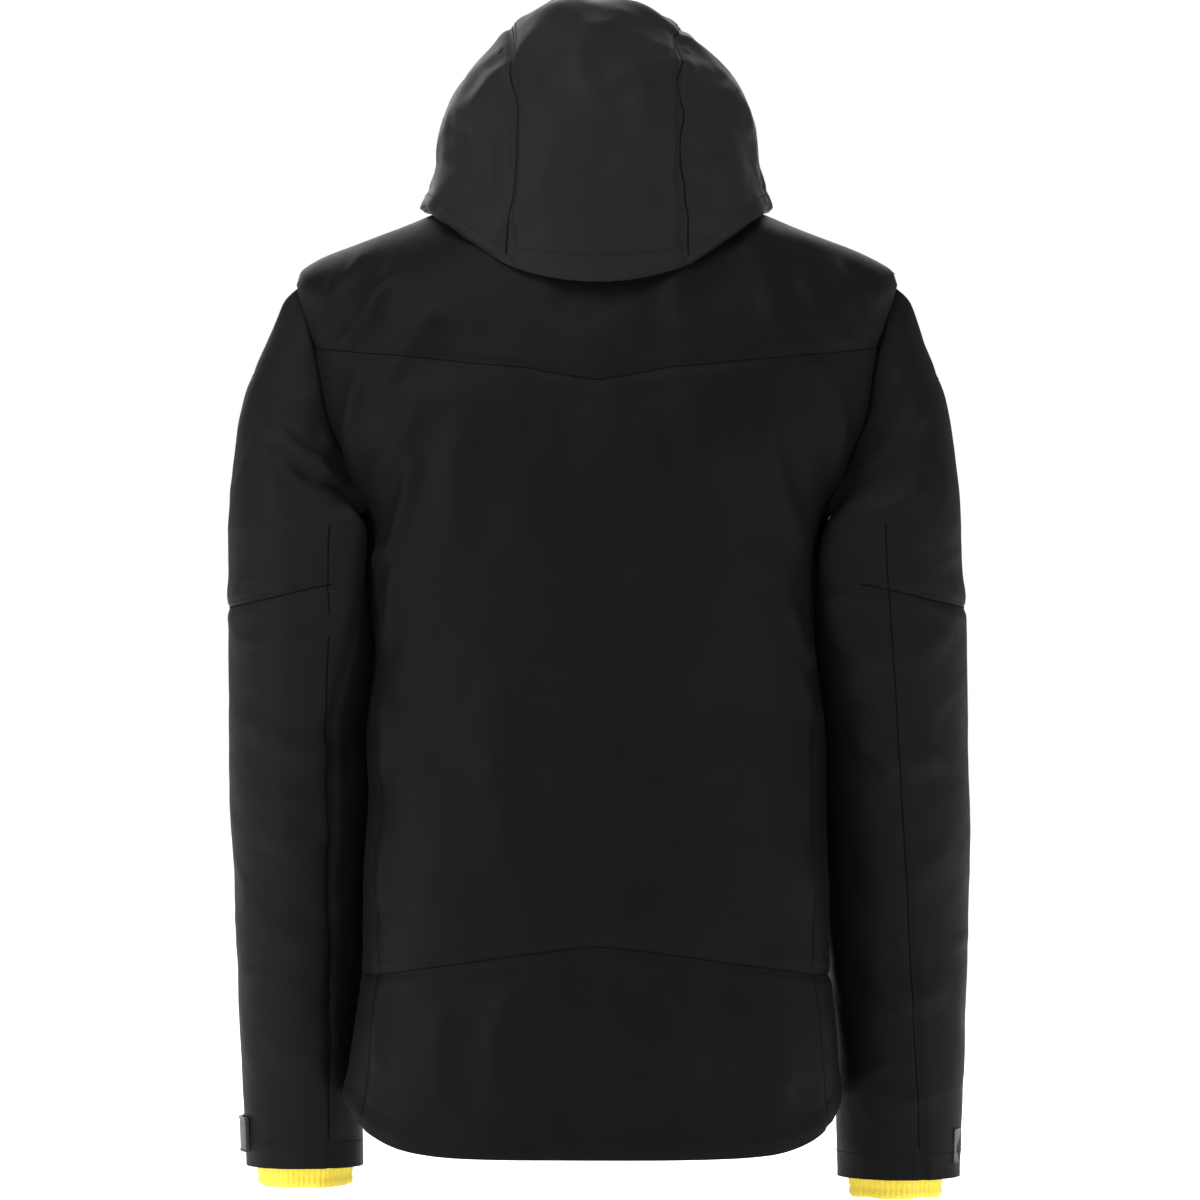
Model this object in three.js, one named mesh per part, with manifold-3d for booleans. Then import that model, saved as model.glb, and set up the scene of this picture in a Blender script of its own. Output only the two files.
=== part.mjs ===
// Insulated ski jacket, hood up, zipped shut. Millimetres, +Z up, the front of the jacket faces -Y and
// the wearer's left is +X. The origin is the top of the hanger loop inside the back of the collar.
// Every cloth piece is a thin closed shell on one of three shared surfaces: the body, a sleeve, the hood.
import * as THREE from 'three';
import { mergeVertices } from 'three/addons/utils/BufferGeometryUtils.js';
import Module from 'manifold-3d';

// ---- Driving dimensions ------------------------------------------------------------------------
const BACK_LENGTH = 754; // back neck seam to the back hem
const HEM_HALF_WIDTH = 205;
const WAIST_HALF_WIDTH = 186;
const ARMPIT_HALF_WIDTH = 190;
const SHOULDER_HALF_WIDTH = 237;
const NECK_HALF_WIDTH = 85;
const HEM_FRONT_DEPTH = 132; // centre line to the zip at the hem
const ZIP_SLOPE = 0.062; // how far the straight zip line leans back for each millimetre up
const BACK_DEPTHS = { hem: 130, waist: 118, chest: 128, yoke: 120, blade: 99, neck: 75 };
const ARMPIT_LEVEL = -232;
const SHOULDER_LEVEL = -100; // level of the ring through the shoulder points
const SHOULDER_DROP = 50;
const NECK_SIDE_RISE = 24;
const FRONT_NECK_DROP = 45;
const ARMHOLE_ANGLE = 25; // degrees either side of the side line
const YOKE_DROP = 134; // point of the V seam under the back neck
const HEM_BAND = 172; // height of the hem panel at the centre back
const HEM_SCOOP = 46; // how much the side of the hem is cut up
const CLOTH = 3; // face cloth with its wadding, pressed flat
const SEAM_GAP = 0.5;
const LINING = 1.2;
const LINING_INSET = 11; // between face cloth and lining, where the wadding and pocket bags lie
const TOUCH = 0.6; // between cloths that lie on each other
const SLEEVE_OUT = 242; // sleeve centre line from the centre of the body
const BICEPS_HALF = { width: 52, depth: 72 };
const CUFF_HALF = { width: 48, depth: 50 };
const BICEPS_Z = -250;
const ARM_SEAM_Z = -302; // seam round the upper arm
const ELBOW_Z = -400;
const CUFF_Z = -768;
const CUFF_FORWARD = 75; // how far the hanging cuff sits in front of the shoulder
const GAITER = { length: 62, shows: 16, thick: 2, taper: 6 };
const ELBOW_BEND = 60; // degrees that the elbow's notch leaves room for
const HOOD_HALF = { width: 128, depth: 128, height: 127 };
const HOOD_CENTRE = { y: -20, z: 44 };
const HOOD_OVERHANG = 50; // how far the back edge of the hood hangs below the neck seam
const HOOD_FLARE = 12; // how much wider the hood is where it lies on the shoulders
const HOOD_STRIP = 0.62; // slope, across over along, of the centre strip's edges seen from the hood's centre
const COLLAR_HEIGHT = 66;
const ZIP = { tape: 13, tapeThick: 1.2, teeth: 3, teethThick: 2.4, opening: 9 }; // widths are half widths
const SLIDER = { half: 4.4, plate: 2, lip: 1, length: 12 };
const PULL = { width: 8, thick: 2, length: 34 };
const RUNNING_GAP = 0.5; // between a slider and its teeth
const POCKET = { angle: 44, top: -430, length: 160, opening: 5.5, bagForward: 26, bagThick: 1.6 };
const STORM_FLAP = { half: 20, thick: 1.5 };
const LOOP = { width: 60, height: 22, back: 56, strap: 8, thick: 1.6 };
const TAB = { from: 30, to: 118, width: 28, lift: 12, thick: 3 }; // degrees round the cuff, 90 outermost
const SKIRT = { low: -650, high: -570, thick: 2, opening: 30 };

// ---- Small helpers -----------------------------------------------------------------------------
const rad = THREE.MathUtils.degToRad;
const lerp = THREE.MathUtils.lerp;
const V = (x, y, z) => new THREE.Vector3(x, y, z);
const jacket = new THREE.Group();
// The model is drawn about the centre of the body, then moved so that the hanger loop is the origin.
jacket.position.set(0, -LOOP.back, -LOOP.height);

const finish = (color, roughness, metalness = 0) =>
  new THREE.MeshStandardMaterial({ color, roughness, metalness });
const FACE = finish(0x1c1c1d, 0.75);
const HOOD_CLOTH = finish(0x2b2b2c, 0.75);
const LINING_CLOTH = finish(0x151517, 0.6);
const RUBBER = finish(0x17171a, 0.5);
const KNIT = finish(0xf2dc4c, 0.85);
const TAPE = finish(0x111113, 0.7);
const METAL = finish(0x2a2a2d, 0.35, 0.9);

function add(name, geometry, material, parent = jacket) {
  const mesh = new THREE.Mesh(geometry, material);
  mesh.name = name;
  parent.add(mesh);
  return mesh;
}

// Smooth value through hand-set stations [[place, value], ...], level outside them.
function track(x, stations) {
  const last = stations.length - 1;
  if (x <= stations[0][0]) return stations[0][1];
  if (x >= stations[last][0]) return stations[last][1];
  const slope = (i) => (stations[i + 1][1] - stations[i][1]) / (stations[i + 1][0] - stations[i][0]);
  function tangent(i) {
    if (i === 0) return slope(0);
    if (i === last) return slope(last - 1);
    return slope(i - 1) * slope(i) > 0 ? (slope(i - 1) + slope(i)) / 2 : 0;
  }
  const i = stations.findIndex((s) => s[0] > x) - 1;
  const span = stations[i + 1][0] - stations[i][0];
  const t = (x - stations[i][0]) / span;
  const rise = t * t * (3 - 2 * t);
  return (
    lerp(stations[i][1], stations[i + 1][1], rise) +
    span * t * (1 - t) * ((1 - t) * tangent(i) - t * tangent(i + 1))
  );
}

// A closed shell over the grid point(u, v) with u and v from 0 to 1. The shell lies on the inner side of
// the surface, inset(u, v) below it; wrap joins u = 1 to u = 0 for tubes. out = -1 is for a surface whose
// u and v run so that their cross product points in.
function shell(point, columns, rows, thickness, { wrap = false, out = 1, inset = () => 0 } = {}) {
  const e = 1e-3;
  const positions = [];
  const index = [];
  const across = wrap ? columns : columns + 1;
  const wrapped = (u) => (wrap ? ((u % 1) + 1) % 1 : u);
  function normal(u, v) {
    const du = point(wrapped(u + e), v).sub(point(wrapped(u - e), v));
    const dv = point(u, v + e).sub(point(u, v - e));
    return du.cross(dv).normalize().multiplyScalar(out);
  }
  for (const side of [0, 1])
    for (let j = 0; j <= rows; j++)
      for (let i = 0; i < across; i++) {
        const u = i / columns;
        const v = j / rows;
        const p = point(u, v);
        const depth = inset(u, v) + side * thickness;
        if (depth) p.addScaledVector(normal(u, v), -depth);
        positions.push(p.x, p.y, p.z);
      }
  const at = (side, i, j) => side * across * (rows + 1) + j * across + (wrap ? i % columns : i);
  const quad = (a, b, c, d) => (out > 0 ? index.push(a, b, c, a, c, d) : index.push(a, c, b, a, d, c));
  for (let j = 0; j < rows; j++)
    for (let i = 0; i < columns; i++) {
      quad(at(0, i, j), at(0, i + 1, j), at(0, i + 1, j + 1), at(0, i, j + 1));
      quad(at(1, i, j), at(1, i, j + 1), at(1, i + 1, j + 1), at(1, i + 1, j));
    }
  for (let i = 0; i < columns; i++) {
    quad(at(0, i, 0), at(1, i, 0), at(1, i + 1, 0), at(0, i + 1, 0));
    quad(at(0, i, rows), at(0, i + 1, rows), at(1, i + 1, rows), at(1, i, rows));
  }
  if (!wrap)
    for (let j = 0; j < rows; j++) {
      quad(at(0, 0, j), at(0, 0, j + 1), at(1, 0, j + 1), at(1, 0, j));
      quad(at(0, columns, j), at(1, columns, j), at(1, columns, j + 1), at(0, columns, j + 1));
    }
  const geometry = new THREE.BufferGeometry();
  geometry.setAttribute('position', new THREE.Float32BufferAttribute(positions, 3));
  return geometry.setIndex(index);
}

// ---- Body surface ------------------------------------------------------------------------------
// A ring is named by its level, the height at which it crosses the centre back. Its angle runs from 0 at
// the zip through 90 at the wearer's left to 180 at the centre back.
const HEM_LEVEL = -BACK_LENGTH;
const WAIST_LEVEL = -420;
const halfWidth = (level) =>
  track(level, [
    [HEM_LEVEL, HEM_HALF_WIDTH],
    [WAIST_LEVEL, WAIST_HALF_WIDTH],
    [ARMPIT_LEVEL - 60, WAIST_HALF_WIDTH],
    [ARMPIT_LEVEL, ARMPIT_HALF_WIDTH],
    [lerp(ARMPIT_LEVEL, SHOULDER_LEVEL, 0.4), SHOULDER_HALF_WIDTH - 15],
    [lerp(ARMPIT_LEVEL, SHOULDER_LEVEL, 0.75), SHOULDER_HALF_WIDTH - 3],
    [SHOULDER_LEVEL, SHOULDER_HALF_WIDTH],
    [0, NECK_HALF_WIDTH],
  ]);
const backDepth = (level) =>
  track(level, [
    [HEM_LEVEL, BACK_DEPTHS.hem],
    [WAIST_LEVEL, BACK_DEPTHS.waist],
    [ARMPIT_LEVEL, BACK_DEPTHS.chest],
    [-YOKE_DROP, BACK_DEPTHS.yoke],
    [-YOKE_DROP / 2, BACK_DEPTHS.blade],
    [0, BACK_DEPTHS.neck],
  ]);
const frontDepth = (z) => HEM_FRONT_DEPTH - ZIP_SLOPE * (z - HEM_LEVEL);
// The shoulder line is straight from the neck to the shoulder point.
function sideHeight(level) {
  const out = (halfWidth(level) - NECK_HALF_WIDTH) / (SHOULDER_HALF_WIDTH - NECK_HALF_WIDTH);
  if (level > SHOULDER_LEVEL) return lerp(NECK_SIDE_RISE, -SHOULDER_DROP, out);
  return lerp(ARMPIT_LEVEL, -SHOULDER_DROP, (level - ARMPIT_LEVEL) / (SHOULDER_LEVEL - ARMPIT_LEVEL));
}
const frontHeight = (level) => lerp(ARMPIT_LEVEL, -FRONT_NECK_DROP, 1 - level / ARMPIT_LEVEL);
const squareness = (level) => track(level, [[ARMPIT_LEVEL, 2.4], [0, 2.05]]);

function body(level, angle) {
  const power = 2 / squareness(level);
  const s = Math.sin(rad(angle));
  const c = Math.cos(rad(angle));
  const upper = level > ARMPIT_LEVEL;
  const centre = upper && c > 0 ? frontHeight(level) : level;
  const side = upper ? sideHeight(level) : level;
  const z = lerp(side, centre, Math.abs(c) ** 1.5);
  const depth = c > 0 ? frontDepth(upper ? frontHeight(level) : level) : backDepth(level);
  return V(
    Math.sign(s) * Math.abs(s) ** power * halfWidth(level),
    -Math.sign(c) * Math.abs(c) ** power * depth,
    z,
  );
}
// Half the armhole, in degrees from the side line.
const armhole = (level) =>
  track(level, [
    [ARMPIT_LEVEL, ARMHOLE_ANGLE],
    [lerp(ARMPIT_LEVEL, SHOULDER_LEVEL, 0.5), ARMHOLE_ANGLE],
    [lerp(ARMPIT_LEVEL, SHOULDER_LEVEL, 0.8), ARMHOLE_ANGLE * 0.65],
    [SHOULDER_LEVEL, 0],
  ]);
const SIDE_BACK = 90 + ARMHOLE_ANGLE;
const SIDE_FRONT = 90 - ARMHOLE_ANGLE;
// The angle whose body point lies the distance x from the zip line, at a given level.
const zipEdge = (level, x) =>
  (Math.asin((x / halfWidth(level)) ** (squareness(level) / 2)) * 180) / Math.PI;
const yokeLevel = (angle) => -YOKE_DROP + 14 * Math.sin(rad(angle)) ** 2;
const hemSeam = (angle) => HEM_LEVEL + HEM_BAND - 28 * Math.abs(Math.sin(rad(angle)));
const hemEdge = (angle) =>
  HEM_LEVEL + (Math.cos(rad(angle)) > 0 ? 14 : 0) + (HEM_SCOOP - 6) * Math.abs(Math.sin(rad(angle))) ** 6;

// A body panel between two edges, each a function of level, and two seams, each a function of angle.
function bodyPanel(edges, seams, columns, rows, { inset = () => 0, thickness = CLOTH, mirror = false } = {}) {
  function place(u, v) {
    let angle = edges[0](ARMPIT_LEVEL);
    let level = ARMPIT_LEVEL;
    for (let pass = 0; pass < 6; pass++) {
      level = lerp(seams[0](angle), seams[1](angle), v);
      angle = lerp(edges[0](level), edges[1](level), u);
    }
    return { level, angle };
  }
  const point = (u, v) => {
    const { level, angle } = place(u, v);
    return body(level, angle).multiply(V(mirror ? -1 : 1, 1, 1));
  };
  const sunk = (u, v) => inset(place(u, v).level);
  return shell(point, columns, rows, thickness, { out: mirror ? -1 : 1, inset: sunk });
}
const flat = (value) => () => value;
const SEAM_GAP_ANGLE = 0.42; // the angle that a seam gap spans at the side of the body
const down = (seam) => (angle) => seam(angle) - SEAM_GAP / 2;
const up = (seam) => (angle) => seam(angle) + SEAM_GAP / 2;
const armholeLevel = flat(ARMPIT_LEVEL);

// ---- Body panels -------------------------------------------------------------------------------
const backEdge = (level) => Math.max(level < ARMPIT_LEVEL ? SIDE_BACK : 90 + armhole(level), 90) + SEAM_GAP_ANGLE;
const frontEdge = (level) => (level < ARMPIT_LEVEL ? SIDE_FRONT : 90 - armhole(level)) - SEAM_GAP_ANGLE;
const opening = (level) => zipEdge(level, ZIP.opening);
const acrossBack = [backEdge, (level) => 360 - backEdge(level)];
add('back_yoke', bodyPanel(acrossBack, [up(yokeLevel), flat(-SEAM_GAP)], 22, 6), FACE);
add('back_panel', bodyPanel(acrossBack, [up(hemSeam), down(yokeLevel)], 18, 12), FACE);
add('back_hem', bodyPanel(acrossBack, [hemEdge, down(hemSeam)], 18, 3), FACE);
for (const [side, mirror] of [['left', false], ['right', true]]) {
  const toFront = [opening, frontEdge];
  add(`front_yoke_${side}`, bodyPanel(toFront, [up(yokeLevel), flat(-SEAM_GAP)], 9, 6, { mirror }), FACE);
  add(`front_panel_${side}`, bodyPanel(toFront, [up(hemSeam), down(yokeLevel)], 9, 10, { mirror }), FACE);
  const underArm = [flat(SIDE_FRONT + SEAM_GAP_ANGLE), flat(SIDE_BACK - SEAM_GAP_ANGLE)];
  add(`side_panel_${side}`, bodyPanel(underArm, [up(hemSeam), armholeLevel], 5, 8, { mirror }), FACE);
  const hemEdges = [opening, flat(SIDE_BACK - SEAM_GAP_ANGLE)];
  add(`front_hem_${side}`, bodyPanel(hemEdges, [hemEdge, down(hemSeam)], 13, 3, { mirror }), FACE);
}

// ---- Lining and powder skirt -------------------------------------------------------------------
const fromZip = (x) => (level) => zipEdge(level, x);
const LINING_EDGE = STORM_FLAP.half + 6;
const hangs = { // the lining meets the hem and hangs free above it
  inset: (level) => track(level, [[HEM_LEVEL + 50, CLOTH + TOUCH], [HEM_LEVEL + 90, LINING_INSET]]),
  thickness: LINING,
};
const lies = { // it is sewn into the neck seam
  inset: (level) => track(level, [[-40, CLOTH + 4], [-3, CLOTH + TOUCH]]),
  thickness: LINING,
};
const liningEdges = [fromZip(LINING_EDGE), (level) => 360 - fromZip(LINING_EDGE)(level)];
const liningHem = (angle) => hemEdge(angle) + 12;
add('lining_body', bodyPanel(liningEdges, [liningHem, flat(ARMPIT_LEVEL - 4)], 30, 8, hangs), LINING_CLOTH);
const liningBack = [(level) => backEdge(level) + 1, (level) => 359 - backEdge(level)];
add('lining_back', bodyPanel(liningBack, [armholeLevel, flat(-3)], 16, 6, lies), LINING_CLOTH);
for (const [side, mirror] of [['left', false], ['right', true]]) {
  const edges = [fromZip(LINING_EDGE), (level) => frontEdge(level) - 1];
  const made = bodyPanel(edges, [armholeLevel, flat(-3)], 6, 6, { ...lies, mirror });
  add(`lining_front_${side}`, made, LINING_CLOTH);
}
const skirtEdges = [fromZip(SKIRT.opening), (level) => 360 - fromZip(SKIRT.opening)(level)];
const skirtLies = { inset: () => LINING_INSET + LINING + 2 * TOUCH, thickness: SKIRT.thick };
add('powder_skirt', bodyPanel(skirtEdges, [flat(SKIRT.low), flat(SKIRT.high)], 30, 1, skirtLies), LINING_CLOTH);

// ---- Collar and hanger loop --------------------------------------------------------------------
// The collar leans in with height by as much as the zip line does, so that the zip stays straight.
const neckFront = frontDepth(-FRONT_NECK_DROP);
const collarPoint = (u, v) => {
  const edge = opening(0) + 0.3;
  const p = body(0, lerp(edge, 360 - edge, u));
  const lean = 1 - (ZIP_SLOPE * COLLAR_HEIGHT * v) / neckFront;
  return V(p.x * lean, p.y * lean, p.z + TOUCH + COLLAR_HEIGHT * v);
};
add('collar', shell(collarPoint, 32, 3, CLOTH), FACE);

class LoopPath extends THREE.Curve {
  getPoint(t, target = V(0, 0, 0)) {
    const bow = Math.sin(Math.PI * t);
    const ringY = BACK_DEPTHS.neck * Math.sqrt(1 - (LOOP.width / 2 / NECK_HALF_WIDTH) ** 2);
    const seat = ringY - CLOTH - 4 * TOUCH - LOOP.thick;
    const top = LOOP.height - LOOP.strap / 2;
    return target.set((0.5 - t) * LOOP.width, lerp(seat, LOOP.back, bow), lerp(LOOP.strap, top, bow));
  }
}
const strapSection = new THREE.Shape();
strapSection.moveTo(-LOOP.strap / 2, -LOOP.thick / 2);
strapSection.lineTo(LOOP.strap / 2, -LOOP.thick / 2);
strapSection.lineTo(LOOP.strap / 2, LOOP.thick / 2);
strapSection.lineTo(-LOOP.strap / 2, LOOP.thick / 2);
const loopMade = new THREE.ExtrudeGeometry(strapSection, { steps: 14, extrudePath: new LoopPath() });
add('hanger_loop', loopMade, TAPE);

// ---- Sleeves -----------------------------------------------------------------------------------
// turn runs round a sleeve from 0 at its front through 90 at its outer side to 180 at its back.
const sleeveForward = (z) =>
  track(z, [
    [CUFF_Z, -CUFF_FORWARD],
    [lerp(CUFF_Z, ARM_SEAM_Z, 0.45), -0.6 * CUFF_FORWARD],
    [lerp(CUFF_Z, ARM_SEAM_Z, 0.75), -0.27 * CUFF_FORWARD],
    [BICEPS_Z, -2],
  ]);
const sleeveHalf = (key) => (z) =>
  track(z, [
    [CUFF_Z, CUFF_HALF[key]],
    [lerp(CUFF_Z, ARM_SEAM_Z, 0.6), lerp(CUFF_HALF[key], BICEPS_HALF[key], 0.5) + 3],
    [lerp(CUFF_Z, ARM_SEAM_Z, 0.85), BICEPS_HALF[key] - 1],
    [BICEPS_Z, BICEPS_HALF[key]],
  ]);
const sleeveWidth = sleeveHalf('width');
const sleeveDepth = sleeveHalf('depth');
const armLine = (z) => SLEEVE_OUT + track(z, [[CUFF_Z, 0], [lerp(CUFF_Z, ARM_SEAM_Z, 0.6), 2], [BICEPS_Z, 0]]);
function arm(turn, z, inset = 0) {
  const x = armLine(z) + (sleeveWidth(z) - inset) * Math.sin(rad(turn));
  return V(x, sleeveForward(z) - (sleeveDepth(z) - inset) * Math.cos(rad(turn)), z);
}
// The edge of the armhole in the body, at a turn of the sleeve that is sewn to it.
const ARMHOLE_MIDDLE = (ARMPIT_LEVEL + SHOULDER_LEVEL) / 2;
const ARMHOLE_FLOOR = 0.74; // the armhole runs level where the turn's sine is below minus this
function armholePoint(turn) {
  const s = Math.sin(rad(turn));
  const c = Math.cos(rad(turn));
  const half = SHOULDER_LEVEL - ARMHOLE_MIDDLE;
  const level = Math.max(ARMHOLE_MIDDLE + (half * s) / (s < 0 ? ARMHOLE_FLOOR : 1), ARMPIT_LEVEL);
  const spread = s < -ARMHOLE_FLOOR ? Math.abs(c) / Math.sqrt(1 - ARMHOLE_FLOOR ** 2) : 1;
  return body(level, 90 - Math.sign(c) * armhole(level) * spread);
}
const SLEEVE_GAP = 1.5; // between the sleeve head and the armhole
// The sleeve head runs from the armhole, share = 0, to the level biceps ring, share = 1.
function sleeveHead(turn, share) {
  const s = Math.sin(rad(turn));
  const tilt = rad(lerp(58, 74, (1 - s) / 2));
  const leave = V(Math.cos(tilt), -0.2 * Math.cos(rad(turn)), -Math.sin(tilt)).normalize();
  const start = armholePoint(turn).addScaledVector(leave, SLEEVE_GAP).add(V(0.6, 0, 0));
  const end = arm(turn, BICEPS_Z);
  const reach = start.distanceTo(end) * 0.9;
  const t = share;
  const p = start.clone().lerp(end, t * t * (3 - 2 * t));
  p.addScaledVector(leave, reach * t * (1 - t) ** 2);
  return p.addScaledVector(V(0.06, 0, -1), -reach * t * t * (1 - t));
}
const CAP_EDGE = Math.sin(rad(15));
const capSeam = (turn) => 0.4 * Math.max(0, (Math.sin(rad(turn)) - CAP_EDGE) / (1 - CAP_EDGE));
const ELBOW_PIVOT = sleeveForward(ELBOW_Z) - 0.6 * sleeveDepth(ELBOW_Z); // y of the elbow's hinge line
// Half the notch in front of the elbow's hinge line, which lets the forearm fold up without meeting the sleeve.
function elbowNotch(turn) {
  const ahead = Math.max(0, ELBOW_PIVOT - arm(turn, ELBOW_Z).y);
  return 0.45 + ahead * Math.tan(rad(ELBOW_BEND / 2));
}
const upperSleeve = (u, v) => {
  const turn = 360 * u;
  const low = capSeam(turn) > 0 ? capSeam(turn) + 0.006 : 0;
  const share = lerp(low, 2, v);
  if (share <= 1) return sleeveHead(turn, share);
  return arm(turn, lerp(BICEPS_Z, ARM_SEAM_Z + SEAM_GAP / 2, share - 1));
};
const lowerSleeve = (u, v) => {
  const turn = 360 * u;
  return arm(turn, lerp(ELBOW_Z + elbowNotch(turn), ARM_SEAM_Z - SEAM_GAP / 2, v));
};
const shoulderCap = (u, v) => {
  const end = lerp(16, 30, v); // its two corners taper to points on the armhole
  const turn = lerp(end, 180 - end, u);
  return sleeveHead(turn, Math.max(0, capSeam(lerp(30, 150, u)) - 0.006) * v);
};
const forearm = (u, v) => arm(360 * u, lerp(CUFF_Z, ELBOW_Z - elbowNotch(360 * u), v));
const GAITER_FIT = CLOTH + TOUCH;
const gaiter = (u, v) => {
  const z = CUFF_Z - GAITER.shows + GAITER.length * v;
  return arm(360 * u, Math.max(z, CUFF_Z), GAITER_FIT + GAITER.taper * (1 - v)).setZ(z);
};
const tabPoint = (u, v) => arm(lerp(TAB.from, TAB.to, u), CUFF_Z + TAB.lift + TAB.width * v, -TAB.thick - TOUCH);
for (const [side, flip] of [['left', 1], ['right', -1]]) {
  const mirrored = (point) => (u, v) => point(u, v).multiply(V(flip, 1, 1));
  // v runs down the sleeve on the cap and the upper sleeve, and up it on the other pieces.
  const hung = { wrap: true, out: -flip };
  const stood = { wrap: true, out: flip };
  add(`shoulder_cap_${side}`, shell(mirrored(shoulderCap), 8, 4, CLOTH, { out: -flip }), FACE);
  add(`upper_sleeve_${side}`, shell(mirrored(upperSleeve), 24, 9, CLOTH, hung), FACE);
  add(`lower_sleeve_${side}`, shell(mirrored(lowerSleeve), 24, 3, CLOTH, stood), FACE);
  add(`forearm_${side}`, shell(mirrored(forearm), 22, 7, CLOTH, stood), FACE);
  add(`wrist_gaiter_${side}`, shell(mirrored(gaiter), 20, 2, GAITER.thick, stood), KNIT);
  add(`cuff_tab_${side}`, shell(mirrored(tabPoint), 8, 2, TAB.thick, { out: flip }), RUBBER);
}

// ---- Hood --------------------------------------------------------------------------------------
// Hood directions are seen from its centre: x to the wearer's left, y back, z up.
function hoodPoint(direction) {
  const d = direction.clone().normalize();
  const rise = d.z > 0 ? (d.z / HOOD_HALF.height) ** 2 : 0;
  const reach = 1 / Math.sqrt((d.x / HOOD_HALF.width) ** 2 + (d.y / HOOD_HALF.depth) ** 2 + rise);
  const p = d.multiplyScalar(reach);
  if (p.z < 0) p.x *= 1 + (HOOD_FLARE / HOOD_HALF.width) * Math.min(1, -p.z / HOOD_CENTRE.z);
  return p.add(V(0, HOOD_CENTRE.y, HOOD_CENTRE.z));
}
// A place on the edge of the centre strip: angle is 0 straight back, 90 at the top, 150 at the face opening.
const HOOD_BACK_ANGLE = (-Math.atan2(HOOD_OVERHANG - 10 + HOOD_CENTRE.z, HOOD_HALF.depth - 20) * 180) / Math.PI;
const HOOD_FRONT_ANGLE = 147;
const HOOD_CORNER_ANGLE = 60; // where the side panel's back edge turns into its top edge
const stripSlope = (angle) => track(angle, [[HOOD_BACK_ANGLE, HOOD_STRIP - 0.16], [0, HOOD_STRIP]]);
const stripEdge = (angle, share = 1) =>
  V(stripSlope(angle) * share, Math.cos(rad(angle)), Math.sin(rad(angle)));
const hoodStrip = (u, v) => hoodPoint(stripEdge(lerp(HOOD_BACK_ANGLE, HOOD_FRONT_ANGLE, v), 1.97 * (u - 0.5)));
const PEAK_ANGLE = 14;
const PEAK_HALF = 0.98; // half its width, as a share of the centre strip's
const hoodPeak = (u, v) => {
  const angle = HOOD_FRONT_ANGLE + 0.4 + PEAK_ANGLE * v;
  return hoodPoint(stripEdge(angle, 2 * PEAK_HALF * (u - 0.5)));
};
// The lower edge of a side panel, at an angle round the neck from 0 straight back to 90 at the ear.
const HOOD_REST = 7; // height of the hood's lower edge over the shoulders
const NECK_BACK = 32.6;
const NECK_FRONT = 120;
const hoodHem = (angle) =>
  V(
    Math.sin(rad(angle)),
    Math.cos(rad(angle)),
    track(angle, [
      [NECK_BACK, Math.tan(rad(HOOD_BACK_ANGLE)) * Math.cos(rad(NECK_BACK))],
      [60, (HOOD_REST - 11 - HOOD_CENTRE.z) / HOOD_HALF.width],
      [80, (HOOD_REST - HOOD_CENTRE.z) / HOOD_HALF.width],
      [NECK_FRONT, (HOOD_REST - HOOD_CENTRE.z) / HOOD_HALF.width],
    ]),
  );
function hoodSide(u, v) {
  const [back, corner, front] = [HOOD_BACK_ANGLE, HOOD_CORNER_ANGLE, HOOD_FRONT_ANGLE];
  const seam = (angle) => stripEdge(angle, 1.012).normalize();
  const left = (t) => seam(lerp(back, corner, t));
  const top = (t) => seam(lerp(corner, front, t));
  const low = (t) => hoodHem(lerp(NECK_BACK, NECK_FRONT, t)).normalize();
  const right = (t) => low(1).lerp(top(1), t);
  const ruledU = left(v).lerp(right(v), u);
  const ruledV = low(u).lerp(top(u), v);
  const corners = left(0).lerp(low(1), u).lerp(left(1).lerp(top(1), u), v);
  return hoodPoint(ruledU.add(ruledV).sub(corners));
}
add('hood_strip', shell(hoodStrip, 8, 18, CLOTH, { out: -1 }), HOOD_CLOTH);
add('hood_peak', shell(hoodPeak, 8, 2, CLOTH + 1, { out: -1 }), HOOD_CLOTH);
for (const [side, flip] of [['left', 1], ['right', -1]]) {
  const made = shell((u, v) => hoodSide(u, v).multiply(V(flip, 1, 1)), 12, 10, CLOTH, { out: -flip });
  add(`hood_side_${side}`, made, HOOD_CLOTH);
}
// The gusset is sewn into the neck seam and carries the hood's lower edge from inside it.
const GUSSET_THICK = 2;
const gussetPoint = (u, v) => {
  const angle = lerp(120, 240, u);
  const sewn = body(-4, angle).add(V(0, 0, GUSSET_THICK + 1.2 * TOUCH));
  const round = Math.abs(180 - angle);
  const hem = hoodHem(Math.max(round, NECK_BACK));
  const outward = V(Math.sin(rad(round)) * Math.sign(180 - angle), Math.cos(rad(round)), hem.z + 0.2);
  const held = hoodPoint(outward);
  const inside = 1 - (CLOTH + 3 * TOUCH) / HOOD_HALF.depth;
  held.x *= inside;
  held.y = (held.y - HOOD_CENTRE.y) * inside + HOOD_CENTRE.y;
  return sewn.lerp(held, v);
};
add('hood_gusset', shell(gussetPoint, 20, 3, GUSSET_THICK), LINING_CLOTH);

// ---- Zips --------------------------------------------------------------------------------------
// A zip is drawn in its own group: z runs up the teeth from their lower end, y = 0 is the outer face of
// the cloth beside it and y grows inwards.
const wasm = await Module();
wasm.setup();
function solid(geometry) {
  const plain = geometry.clone();
  plain.deleteAttribute('normal');
  plain.deleteAttribute('uv');
  const merged = mergeVertices(plain.index ? plain.toNonIndexed() : plain, 1e-4);
  const mesh = new wasm.Mesh({
    numProp: 3,
    vertProperties: new Float32Array(merged.attributes.position.array),
    triVerts: new Uint32Array(merged.index.array),
  });
  return new wasm.Manifold(mesh);
}
function geometryOf(made) {
  const { vertProperties, triVerts } = made.getMesh();
  const geometry = new THREE.BufferGeometry();
  geometry.setAttribute('position', new THREE.BufferAttribute(vertProperties, 3));
  return geometry.setIndex(new THREE.BufferAttribute(triVerts, 1));
}
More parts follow.
